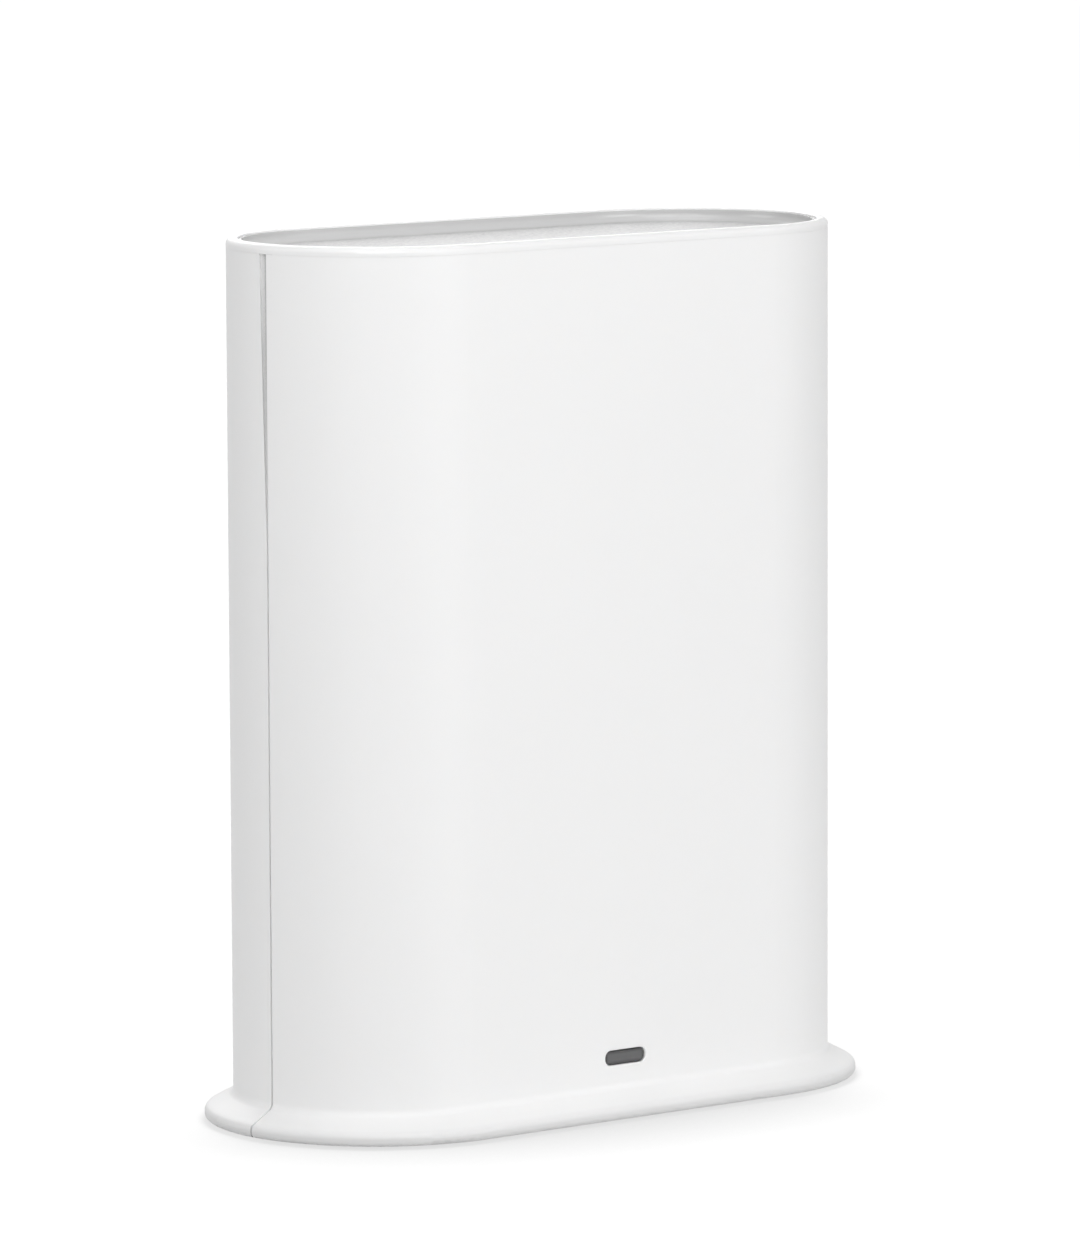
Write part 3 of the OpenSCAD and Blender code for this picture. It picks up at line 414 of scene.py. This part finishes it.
@dataclass(frozen=True)
class CircuitBoard(Finish):
    """Glass-fibre board under solder mask: raised copper tracks and the dots of plated holes."""

    track: float = 0.35
    pitch: float = 2.4
    via: float = 3.6
    via_ring: float = 0.3
    track_height: float = 0.04
    bare_tin: str = "#b9b6a8"

    def make(self) -> bpy.types.Material:
        """Makes the board.

        Returns:
            The material.
        """
        bare = self.start()
        tree = bare.tree
        upright = add(tree, "ShaderNodeMapping", {
            "Vector": bare.place, "Rotation": (math.radians(90), 0.0, 0.0)})
        tracks = add(tree, "ShaderNodeTexBrick", {
            "Vector": upright.outputs[0], "Scale": per_mm(self.pitch),
            "Mortar Size": self.track / self.pitch / 2, "Mortar Smooth": 0.2, "Brick Width": 1.7,
            "Row Height": 0.6, "Bias": 0.0}, offset=0.37, squash=0.7)
        vias = add(tree, "ShaderNodeTexVoronoi", {"Vector": bare.place, "Scale": per_mm(self.via)})
        rings = add(tree, "ShaderNodeMath", {
            0: vias.outputs[0], 1: self.via_ring / self.via}, operation="LESS_THAN")
        self.lay(bare, tracks.outputs["Fac"], tracks.outputs["Fac"], self.track_height)
        bare.tint(rings.outputs[0], self.bare_tin)
        return bare.material


@functools.cache
def material_of(finish: Finish) -> bpy.types.Material:
    """The one material of a finish."""
    return finish.make()


# ABS in a spark-eroded tool: an even satin white, so bright that only its shading shows its form, with
# painted shade in the upper seam and on the rim of the foot.
# The real grain is about 0.15 mm and is drawn at 0.7 mm, which is as fine as the picture can hold.
SHELL_ABS = ShellPlastic("abs_white_spark_textured", "#f1f1f1", "#efefef", 0.5, 1.5, glow=0.1)
# The same ABS in a polished tool: a slightly brighter line of light along the lip.
LIP_ABS = MouldedPlastic("abs_white_satin", "#efefef", "#ededed", 0.4, 1.5, grain_height=0.002, glow=0.1)
# Light grey ABS in a polished tool: a satin tray that stays greyer than the lip round it.
TRAY_ABS = MouldedPlastic("abs_light_grey_satin", "#cccccc", "#c9c9c9", 0.2, 1.5, grain_height=0.002)
# White ABS in a coarser tool: the underside looks flatter than the walls.
BASE_ABS = MouldedPlastic("abs_white_coarse_textured", "#eaeaea", "#e7e7e7", 0.6, 1.5, grain_height=0.01)
# White ABS button: smooth from the finger's side, with a small highlight in its dish.
BUTTON_ABS = MouldedPlastic("abs_white_button", "#e9e9e9", "#e7e7e7", 0.35, 1.5, grain_height=0.002)
# Smoked polycarbonate, polished: a dark grey bar, darker at its rim by painted shade, that still mirrors a
# little of the room.
SMOKED_PC = SmokedWindow("polycarbonate_smoked_polished", "#646465", "#606061", 0.16, 1.58, clearness=0.25)
# Cast acrylic: a clear bar that shows the board behind it.
CLEAR_PMMA = ClearPlastic("acrylic_clear_moulded", "#f4f8f8", "#eef4f4", 0.06, 1.49, clearness=0.95)
# Epoxy with yellow phosphor: a waxy, pale amber pellet.
LED_EPOXY = ClearPlastic("epoxy_amber_cast", "#e0c070", "#d6b25c", 0.3, 1.54, clearness=0.3)
# Rubber with carbon black: dull dark pads that grip.
FOOT_RUBBER = MouldedRubber("rubber_black_moulded", "#343435", "#414142", 0.8, 1.52)
# Zinc-plated steel, cold headed: bluish grey, with a broken shine.
SCREW_STEEL = Metal("steel_zinc_plated", "#b9bcc0", "#9da0a6", 0.32, line=0.6, stretch=2.0)
# Nickel-plated steel sheet, rolled and folded: fine lines along the socket.
SHEET_STEEL = Metal("steel_nickel_plated_rolled", "#c9c6c0", "#b3b0aa", 0.24, line=0.25)
# Turned brass under nickel: a warm bright pin.
PIN_NICKEL = Metal("brass_nickel_plated_turned", "#d2cfc8", "#b8b5ae", 0.2, line=0.2, stretch=0.1)
# Phosphor bronze under hard gold: the yellow glint of contacts.
CONTACT_GOLD = Metal("bronze_gold_plated_drawn", "#e2bd62", "#cfa548", 0.22, line=0.15)
# Tin on steel: dull white metal.
CAN_TIN = Metal("steel_tinned_drawn", "#cfcfcb", "#bcbcb8", 0.38, line=0.4, along=Way.X)
# Drawn aluminium cans: bright, with lines round the pull.
CAPACITOR_CAN = Metal("aluminium_drawn", "#d3d4d6", "#c0c1c4", 0.3, line=0.2)
# Extruded aluminium: long die lines down the fins.
SINK_ALUMINIUM = Metal("aluminium_extruded", "#c3c5c8", "#adafb3", 0.36, line=0.35, along=Way.Z)
# Rolled copper: a brownish pink sheet.
ANTENNA_COPPER = Metal("copper_rolled", "#c98a66", "#b57752", 0.34, line=0.3, along=Way.Z)
# Glass-filled PBT: dead black with a grey bloom of fibre.
PART_PBT = MouldedPlastic("pbt_black_glass_filled", "#1c1c1e", "#242427", 0.46, 1.57, cloud=2.0, grain=0.5)
# Nylon in a small tool: brown, a little waxy.
PLUNGER_NYLON = MouldedPlastic("nylon_brown_moulded", "#4a3224", "#3f2a1e", 0.4, 1.53, cloud=3.0, glow=0.05)
# Natural nylon pins: cream, waxy.
PIN_NYLON = MouldedPlastic("nylon_natural_moulded", "#e6e0d0", "#ddd6c4", 0.42, 1.53, cloud=3.0, glow=0.15)
# Silicone with ceramic filler: a soft blue grey with specks.
PAD_SILICONE = MouldedRubber("silicone_filled_calendered", "#8fa6b8", "#a5b6c3", 0.7, 1.43, pebble=0.25)
# Sintered ferrite: dark grey and granular.
COIL_FERRITE = MouldedRubber(
    "ferrite_sintered", "#3b3b3d", "#4a4a4c", 0.6, 1.9, pebble=0.3, pebble_height=0.015)
# PVC over the leads: black, with the shine of a die.
LEAD_PVC = MouldedPlastic(
    "pvc_black_extruded", "#1a1a1b", "#222223", 0.32, 1.53, cloud=5.0, grain_height=0.002)
# Glass epoxy under green solder mask: tracks stand out as lighter, raised lines.
BOARD_FR4 = CircuitBoard("fr4_green_solder_mask", "#14532f", "#1f6b40", 0.3, 1.55)


def dress(node: str, finish: Finish) -> None:
    """Gives a CAD node its finish.

    Args:
        node: Name of the CAD node.
        finish: Finish of the node.
    """
    material = material_of(finish)
    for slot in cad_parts[node].material_slots:
        slot.material = material
    LOG.info("dressed %s in %s", node, material.name)


def bent(points: list[Vector], radius: float, steps: int = 6) -> list[Vector]:
    """Rounds the inner corners of a path.

    Args:
        points: Corners of the path, in millimetres.
        radius: Radius of each bend.
        steps: Pieces of each bend.

    Returns:
        Points along the rounded path.
    """
    path = [points[0]]
    for before, corner, after in zip(points, points[1:], points[2:]):
        back, ahead = (before - corner).normalized(), (after - corner).normalized()
        half = back.angle(ahead) / 2
        reach = radius / math.tan(half)
        centre = corner + (back + ahead).normalized() * (radius / math.sin(half))
        first, last = corner + back * reach - centre, corner + ahead * reach - centre
        path += [centre + first.slerp(last, i / steps) for i in range(steps + 1)]
    return path + [points[-1]]


def bowed(start: Vector, length: float, bow: float, power: int = 2, steps: int = 12) -> list[Vector]:
    """Path of a strip that runs in from the mouth of a socket and bows out in its middle.

    Args:
        start: Its end at the mouth, in millimetres.
        length: How far in it runs.
        bow: How far its middle stands up, or down if negative.
        power: 2 for ends that run out level, and 1 for a plain bow.
        steps: Pieces of the path.

    Returns:
        Points along the path.
    """
    return [start + Vector((0.0, -length * i / steps, bow * math.sin(math.pi * i / steps) ** power))
            for i in range(steps + 1)]


def ring(across: float, through: float, section: Section, count: int = 16) -> list[tuple[float, float]]:
    """Outline of a wire or strip.

    Args:
        across: Its width.
        through: Its thickness.
        section: Whether it is round or flat.
        count: Number of points.

    Returns:
        Points across and through the wire.
    """
    power = section.value
    turns = (2 * math.pi * i / count for i in range(count))
    return [(across / 2 * math.copysign(abs(math.cos(t)) ** power, math.cos(t)),
             through / 2 * math.copysign(abs(math.sin(t)) ** power, math.sin(t))) for t in turns]


def sweep(name: str, paths: list[list[Vector]], outline: list[tuple[float, float]]) -> bpy.types.Object:
    """Carries an outline along paths that each stay in one upright plane facing sideways.

    Args:
        name: Name of the piece.
        paths: Points of each path, in millimetres.
        outline: Outline across (along X) and through the path.

    Returns:
        The piece, all paths in one mesh.
    """
    shape = bmesh.new()
    side = Vector((1.0, 0.0, 0.0))
    for path in paths:
        rings = []
        for i, point in enumerate(path):
            ahead = (path[min(i + 1, len(path) - 1)] - path[max(i - 1, 0)]).normalized()
            up = side.cross(ahead)
            rings.append([shape.verts.new((point + side * u + up * v) * MM) for u, v in outline])
        for first, second in zip(rings, rings[1:]):
            for k in range(len(outline)):
                shape.faces.new((first[k - 1], first[k], second[k], second[k - 1]))
        shape.faces.new(rings[0])
        shape.faces.new(rings[-1])
    bmesh.ops.recalc_face_normals(shape, faces=shape.faces)
    mesh = bpy.data.meshes.new(name)
    shape.to_mesh(mesh)
    shape.free()
    mesh.shade_smooth()
    mesh.set_sharp_from_angle(angle=SHARP_EDGE)
    piece = bpy.data.objects.new(name, mesh)
    bpy.context.scene.collection.objects.link(piece)
    return piece


@dataclass
class SubAssembly:
    """Pieces that come off the bench together, and the finish of each CAD node among them."""

    finishes: dict[str, Finish] = field(default_factory=dict)

    def build(self) -> None:
        """Adds the finer pieces of this sub-assembly, if it has any."""

    def dress(self) -> None:
        """Gives every CAD node of this sub-assembly its finish."""
        for node, finish in self.finishes.items():
            dress(node, finish)

    def settle(self, piece: bpy.types.Object, finish: Finish, slot: str) -> None:
        """Finishes a new piece and fastens it to the housing.

        Args:
            piece: The new piece.
            finish: Its finish.
            slot: Not used.
        """
        piece.data.materials.append(material_of(finish))
        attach(piece, HOUSING)
        LOG.info("built %s in %s", piece.name, finish.name)


@dataclass
class Housing(SubAssembly):
    """Front and rear shells, the lip round the top and the grey tray in it."""

    finishes: dict[str, Finish] = field(default_factory=lambda: {
        "front_shell": SHELL_ABS, "rear_shell": SHELL_ABS, "top_bezel": LIP_ABS, "top_panel": TRAY_ABS})


@dataclass
class Foot(SubAssembly):
    """Plate under the body, its rubber pads and its screws."""

    finishes: dict[str, Finish] = field(default_factory=lambda: {
        "base_plate": BASE_ABS, "rubber_feet": FOOT_RUBBER, "base_screws": SCREW_STEEL})


@dataclass
class StatusLight(SubAssembly):
    """Smoked window low in the front, with its light guide and light."""

    finishes: dict[str, Finish] = field(default_factory=lambda: {
        "status_window": SMOKED_PC, "light_guide": CLEAR_PMMA, "status_light": LED_EPOXY})


@dataclass
class EthernetJack(SubAssembly):
    """Network jack: housing, lights, and eight round spring wires in place of the plain ones."""

    wire: float = 0.46
    pitch: float = 1.02
    count: int = 8
    way_top: float = 4.25
    way_deep: float = 12.6
    roof_gap: float = 0.68
    root: float = 0.2
    nose: float = 2.7
    tip: float = 2.0
    dip: float = 2.2
    bend: float = 0.5
    finishes: dict[str, Finish] = field(default_factory=lambda: {
        "ethernet_jack": PART_PBT, "ethernet_lights": LED_EPOXY})

    def build(self) -> None:
        """Bends each wire along the roof of the plug's way in, round its nose and down into the way."""
        low, high = (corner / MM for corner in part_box("ethernet_jack"))
        middle, mouth, roof = (low.x + high.x) / 2, high.y, (low.z + high.z) / 2 + self.way_top
        end = mouth - self.way_deep
        paths = []
        for i in range(self.count):
            x = middle + (i - (self.count - 1) / 2) * self.pitch
            paths.append(bent([
                Vector((x, end + self.root, roof + self.roof_gap)),
                Vector((x, mouth - self.nose, roof + self.roof_gap)),
                Vector((x, end + self.tip, roof - self.dip))], self.bend))
        wires = sweep("ethernet_springs", paths, ring(self.wire, self.wire, Section.ROUND))
        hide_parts("ethernet_contacts")
        self.settle(wires, CONTACT_GOLD, "contact_gold")


@dataclass
class UsbSocket(SubAssembly):
    """USB socket: folded sheet, tongue, crowned contacts, and the spring leaves that grip a plug."""

    sheet: float = 0.35
    leaf_w: float = 2.2
    leaf_t: float = 0.25
    leaf_x: float = 3.1
    leaf_gap: float = 0.02
    leaf_in: float = 1.6
    leaf_l: float = 6.2
    leaf_bow: float = 0.5
    contact_x: tuple[float, ...] = (-3.5, -1.0, 1.0, 3.5)
    contact_w: float = 1.0
    contact_t: float = 0.2
    contact_l: float = 7.0
    contact_in: float = 1.9
    contact_bow: float = 0.05
    finishes: dict[str, Finish] = field(default_factory=lambda: {
        "usb_socket": SHEET_STEEL, "usb_tongue": PART_PBT})

    def build(self) -> None:
        """Adds the leaves and the crowned contacts."""
        low, high = (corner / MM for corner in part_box("usb_socket"))
        self.build_leaves(low, high)
        self.build_contacts(low, high)

    def build_leaves(self, low: Vector, high: Vector) -> None:
        """Bows two leaves in from the upper wall and two from the lower wall.

        Args:
            low: Lowest corner of the socket in millimetres.
            high: Highest corner of the socket in millimetres.
        """
        middle, mouth = (low.x + high.x) / 2, high.y
        paths = []
        for wall, inward in ((high.z - self.sheet, -1.0), (low.z + self.sheet, 1.0)):
            for side in (-1.0, 1.0):
                start = Vector((middle + side * self.leaf_x, mouth - self.leaf_in,
                                wall + inward * (self.leaf_t / 2 + self.leaf_gap)))
                paths.append(bowed(start, self.leaf_l, inward * self.leaf_bow))
        leaves = sweep("usb_spring_leaves", paths, ring(self.leaf_w, self.leaf_t, Section.FLAT))
        self.settle(leaves, SHEET_STEEL, "sheet_steel")

    def build_contacts(self, low: Vector, high: Vector) -> None:
        """Lays four contacts under the tongue, each crowned a little in its middle.

        Args:
            low: Lowest corner of the socket in millimetres.
            high: Highest corner of the socket in millimetres.
        """
        middle, mouth = (low.x + high.x) / 2, high.y
        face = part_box("usb_contacts")[1].z / MM - self.contact_t / 2
        starts = [Vector((middle + x, mouth - self.contact_in, face)) for x in self.contact_x]
        paths = [bowed(start, self.contact_l, -self.contact_bow, power=1) for start in starts]
        contacts = sweep("usb_contact_strips", paths, ring(self.contact_w, self.contact_t, Section.FLAT))
        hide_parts("usb_contacts")
        self.settle(contacts, CONTACT_GOLD, "contact_gold")


@dataclass
class PowerJack(SubAssembly):
    """Power jack: round nose, pin, and the sprung blade along the floor of its bore."""

    bore: float = 6.2
    blade_w: float = 2.2
    blade_t: float = 0.3
    blade_in: float = 2.0
    blade_l: float = 7.6
    blade_bow: float = 0.6
    finishes: dict[str, Finish] = field(default_factory=lambda: {
        "power_jack": PART_PBT, "power_pin": PIN_NICKEL})

    def build(self) -> None:
        """Bows the blade up from the floor of the bore."""
        low, high = (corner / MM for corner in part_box("power_pin"))
        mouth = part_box("power_jack")[1].y / MM
        x, z = (low.x + high.x) / 2, (low.z + high.z) / 2
        chord = math.sqrt((self.bore / 2) ** 2 - (self.blade_w / 2) ** 2)
        start = Vector((x, mouth - self.blade_in, z - chord + self.blade_t / 2))
        path = bowed(start, self.blade_l, self.blade_bow)
        blade = sweep("power_blade", [path], ring(self.blade_w, self.blade_t, Section.FLAT))
        self.settle(blade, PIN_NICKEL, "pin_nickel")


@dataclass
class Buttons(SubAssembly):
    """Sync button and reset plunger, each with its switch."""

    finishes: dict[str, Finish] = field(default_factory=lambda: {
        "sync_button": BUTTON_ABS, "sync_plunger": PLUNGER_NYLON, "sync_switch": PART_PBT,
        "reset_plunger": PLUNGER_NYLON, "reset_switch": PART_PBT})


@dataclass
class MainBoard(SubAssembly):
    """Circuit board with its chips, heat sink, cans, coils and screws."""

    finishes: dict[str, Finish] = field(default_factory=lambda: {
        "main_board": BOARD_FR4, "board_screws": SCREW_STEEL, "processor": PART_PBT,
        "thermal_pad": PAD_SILICONE, "heat_sink": SINK_ALUMINIUM, "sink_pins": PIN_NYLON,
        "memory_chips": PART_PBT, "shield_cans": CAN_TIN, "ethernet_transformer": PART_PBT,
        "capacitors": CAPACITOR_CAN, "inductors": COIL_FERRITE})


@dataclass
class Radio(SubAssembly):
    """Three antennas, their leads and the plugs on the board."""

    finishes: dict[str, Finish] = field(default_factory=lambda: {
        "antenna_left": ANTENNA_COPPER, "antenna_right": ANTENNA_COPPER, "antenna_top": ANTENNA_COPPER,
        "coax_left": LEAD_PVC, "coax_right": LEAD_PVC, "coax_top": LEAD_PVC, "coax_plugs": CONTACT_GOLD})


def from_above(azimuth: float, elevation: float) -> Vector:
    """Direction from the object to a lamp or the camera.

    Args:
        azimuth: Degrees from the front, positive towards +X.
        elevation: Degrees above the floor.

    Returns:
        A unit vector.
    """
    turn, rise = math.radians(azimuth), math.radians(elevation)
    return Vector((math.sin(turn) * math.cos(rise), -math.cos(turn) * math.cos(rise), math.sin(rise)))


@dataclass(frozen=True)
class Softbox:
    """Square lamp behind diffusing cloth, aimed at the middle of the object.

    Angles are degrees, power is watts, and sizes are metres.
    """

    name: str
    azimuth: float
    elevation: float
    power: float
    distance: float = 2.6
    side: float = 1.3

    def build(self) -> None:
        """Hangs the lamp."""
        lamp = bpy.data.lights.new(self.name, "AREA")
        lamp.shape = "SQUARE"
        lamp.size = self.side
        lamp.energy = self.power
        holder = bpy.data.objects.new(self.name, lamp)
        away = from_above(self.azimuth, self.elevation)
        holder.location = MIDDLE + away * self.distance
        holder.rotation_euler = away.to_track_quat("Z", "Y").to_euler()
        holder.visible_camera = False
        bpy.context.scene.collection.objects.link(holder)
        LOG.info("hung %s", self.name)


@dataclass(frozen=True)
class Viewpoint:
    """Where the photograph was taken from, as solved from the body's outline.

    Angles are degrees, distance and far clip are metres, the focal length is pixels of the photograph,
    and the film is millimetres. The middle of the object falls on the image point.
    """

    azimuth: float = -37.938
    elevation: float = 7.288
    roll: float = -0.243
    distance: float = 1.572
    focal: float = 8095.3
    image: tuple[int, int] = (1080, 1239)
    image_point: tuple[float, float] = (532.79, 663.81)
    film: float = 36.0
    far_clip: float = 50.0

    def build(self) -> None:
        """Sets up the camera and turns it so that the middle falls on its place in the image."""
        back = from_above(self.azimuth, self.elevation)
        right = Vector((math.cos(math.radians(self.azimuth)), math.sin(math.radians(self.azimuth)), 0.0))
        up = back.cross(right)
        scale = self.distance / self.focal
        aside = self.image[0] / 2 - self.image_point[0]
        above = self.image_point[1] - self.image[1] / 2
        eye = MIDDLE + back * self.distance
        aim = MIDDLE + right * (aside * scale) + up * (above * scale)
        camera = bpy.data.cameras.new("camera")
        camera.sensor_width = self.film
        camera.lens = self.focal / max(self.image) * self.film
        camera.clip_end = self.far_clip
        holder = bpy.data.objects.new("camera", camera)
        holder.location = eye
        tilt = Quaternion((0.0, 0.0, 1.0), math.radians(self.roll))
        holder.rotation_euler = ((aim - eye).to_track_quat("-Z", "Y") @ tilt).to_euler()
        bpy.context.scene.collection.objects.link(holder)
        bpy.context.scene.camera = holder
        LOG.info("set up the camera")


@dataclass
class Studio:
    """White paper sweep with a painted shadow round the foot, weak sky light, softboxes and camera. Its sizes
    are metres.
    """

    sky: float = 0.095
    floor_size: float = 8.0
    paper: str = "#e8e8e8"
    paper_seen: str = "#585858"
    rays: int = 16
    shade_way: float = -38.0
    shade_from: tuple[float, float] = (0.1, 0.8)
    shade_rear: float = 0.3
    shade: float = 0.055
    shade_open: tuple[float, float] = (0.55, 0.97)
    shade_tone: tuple[float, float] = (0.7, 1.0)
    gap: float = 0.01
    gap_open: tuple[float, float] = (0.5, 0.95)
    gap_tone: tuple[float, float] = (0.74, 1.0)
    boxes: tuple[Softbox, ...] = (
        Softbox("key", -15.0, 40.0, 17.8),
        Softbox("fill", 20.0, 10.0, 24.7),
        Softbox("left", -55.0, 45.0, 1.36, distance=0.7, side=0.38),
        Softbox("side", -115.0, 10.0, 17.4),
        Softbox("rear", 152.0, 30.0, 17.0),
        Softbox("top", 0.0, 89.0, 11.5))

    @property
    def spine(self) -> float:
        """Half the straight stretch of the foot, whose ends are half circles."""
        return CAD_BOX[1].x - CAD_BOX[1].y

    def build(self) -> None:
        """Sets up everything round the object."""
        self.build_world()
        self.build_floor()
        for box in self.boxes:
            box.build()
        Viewpoint().build()
        bpy.context.scene.view_settings.view_transform = "Standard"

    def seen(self, tree: bpy.types.NodeTree) -> bpy.types.NodeSocket:
        """One for rays that show the background itself, in the picture or in metal and glass.

        Args:
            tree: Node tree that needs it.

        Returns:
            The socket with that number.
        """
        path = add(tree, "ShaderNodeLightPath").outputs
        mirror = add(tree, "ShaderNodeMath", {
            0: path["Is Glossy Ray"], 1: path["Is Transmission Ray"]}, operation="MAXIMUM")
        either = add(tree, "ShaderNodeMath", {
            0: path["Is Camera Ray"], 1: mirror.outputs[0]}, operation="MAXIMUM")
        return either.outputs[0]

    def build_world(self) -> None:
        """Even sky light, white where it is seen."""
        world = bpy.data.worlds.new("sweep")
        bpy.context.scene.world = world
        world.use_nodes = True
        tree = world.node_tree
        tree.nodes.clear()
        light = add(tree, "ShaderNodeBackground", {"Color": WHITE, "Strength": self.sky})
        white = add(tree, "ShaderNodeBackground", {"Color": WHITE, "Strength": 1.0})
        mix = add(tree, "ShaderNodeMixShader", {0: self.seen(tree), 1: light.outputs[0], 2: white.outputs[0]})
        add(tree, "ShaderNodeOutputWorld", {"Surface": mix.outputs[0]})

    def painted_soft_shadow(self, tree: bpy.types.NodeTree) -> bpy.types.NodeSocket:
        """Tone of the paper's painted soft shadow of the body, deepest towards the shade_way azimuth, the
        side away from the rear lamp.

        Args:
            tree: Node tree of the paper.

        Returns:
            The socket with that tone.
        """
        wide = add(tree, "ShaderNodeAmbientOcclusion", {"Distance": self.shade}, samples=self.rays)
        tone = add(tree, "ShaderNodeMapRange", {
            "Value": wide.outputs["AO"], "From Min": self.shade_open[0], "From Max": self.shade_open[1],
            "To Min": self.shade_tone[0], "To Max": self.shade_tone[1]})
        place = add(tree, "ShaderNodeNewGeometry").outputs["Position"]
        across = add(tree, "ShaderNodeSeparateXYZ", {0: place}).outputs["X"]
        middle = add(tree, "ShaderNodeClamp", {"Value": across, "Min": -self.spine, "Max": self.spine})
        foot = add(tree, "ShaderNodeCombineXYZ", {"X": middle.outputs[0]})
        away = add(tree, "ShaderNodeVectorMath", {0: place, 1: foot.outputs[0]}, operation="SUBTRACT")
        level = add(tree, "ShaderNodeVectorMath", {0: away.outputs[0]}, operation="NORMALIZE")
        facing = add(tree, "ShaderNodeVectorMath", {
            0: level.outputs[0], 1: from_above(self.shade_way, 0.0)}, operation="DOT_PRODUCT")
        share = add(tree, "ShaderNodeMapRange", {
            "Value": facing.outputs["Value"], "From Min": self.shade_from[0], "From Max": self.shade_from[1],
            "To Min": self.shade_rear, "To Max": 1.0})
        return add(tree, "ShaderNodeMix", {0: share.outputs[0], 2: 1.0, 3: tone.outputs[0]}).outputs[0]

    def build_floor(self) -> None:
        """White paper that shows the lamps' shadows faintly, and a painted shadow: soft round the body,
        deeper under the foot.
        """
        half = self.floor_size / 2
        mesh = bpy.data.meshes.new("floor")
        mesh.from_pydata([(-half, -half, 0.0), (half, -half, 0.0), (half, half, 0.0), (-half, half, 0.0)],
                         [], [(0, 1, 2, 3)])
        floor = bpy.data.objects.new("floor", mesh)
        bpy.context.scene.collection.objects.link(floor)
        material = bpy.data.materials.new("paper_white_sweep")
        material.use_nodes = True
        tree = material.node_tree
        tree.nodes.clear()
        # Painted shadow: the paper's glow dims where the body closes in, softly round it and deeper under the
        # foot.
        close = add(tree, "ShaderNodeAmbientOcclusion", {"Distance": self.gap}, samples=self.rays)
        gap = add(tree, "ShaderNodeMapRange", {
            "Value": close.outputs["AO"], "From Min": self.gap_open[0], "From Max": self.gap_open[1],
            "To Min": self.gap_tone[0], "To Max": self.gap_tone[1]})
        painted_shadow_tone = add(tree, "ShaderNodeMath", {0: gap.outputs[0], 1: self.painted_soft_shadow(tree)}, operation="MINIMUM")
        glow = add(tree, "ShaderNodeEmission", {"Color": WHITE, "Strength": painted_shadow_tone.outputs[0]})
        lit = add(tree, "ShaderNodeBsdfDiffuse", {"Color": linear(self.paper_seen)})
        shown = add(tree, "ShaderNodeAddShader", {0: lit.outputs[0], 1: glow.outputs[0]})
        paper = add(tree, "ShaderNodeBsdfDiffuse", {"Color": linear(self.paper)})
        both = add(tree, "ShaderNodeMixShader", {
            0: self.seen(tree), 1: paper.outputs[0], 2: shown.outputs[0]})
        add(tree, "ShaderNodeOutputMaterial", {"Surface": both.outputs[0]})
        mesh.materials.append(material)


def main() -> None:
    """Dresses the model sub-assembly by sub-assembly and sets up the studio."""
    logging.basicConfig(level=logging.INFO, format="%(message)s")
    for part in (Housing(), Foot(), StatusLight(), EthernetJack(), UsbSocket(), PowerJack(), Buttons(),
                 MainBoard(), Radio()):
        part.build()
        part.dress()
    Studio().build()


if __name__ == "__main__":
    main()
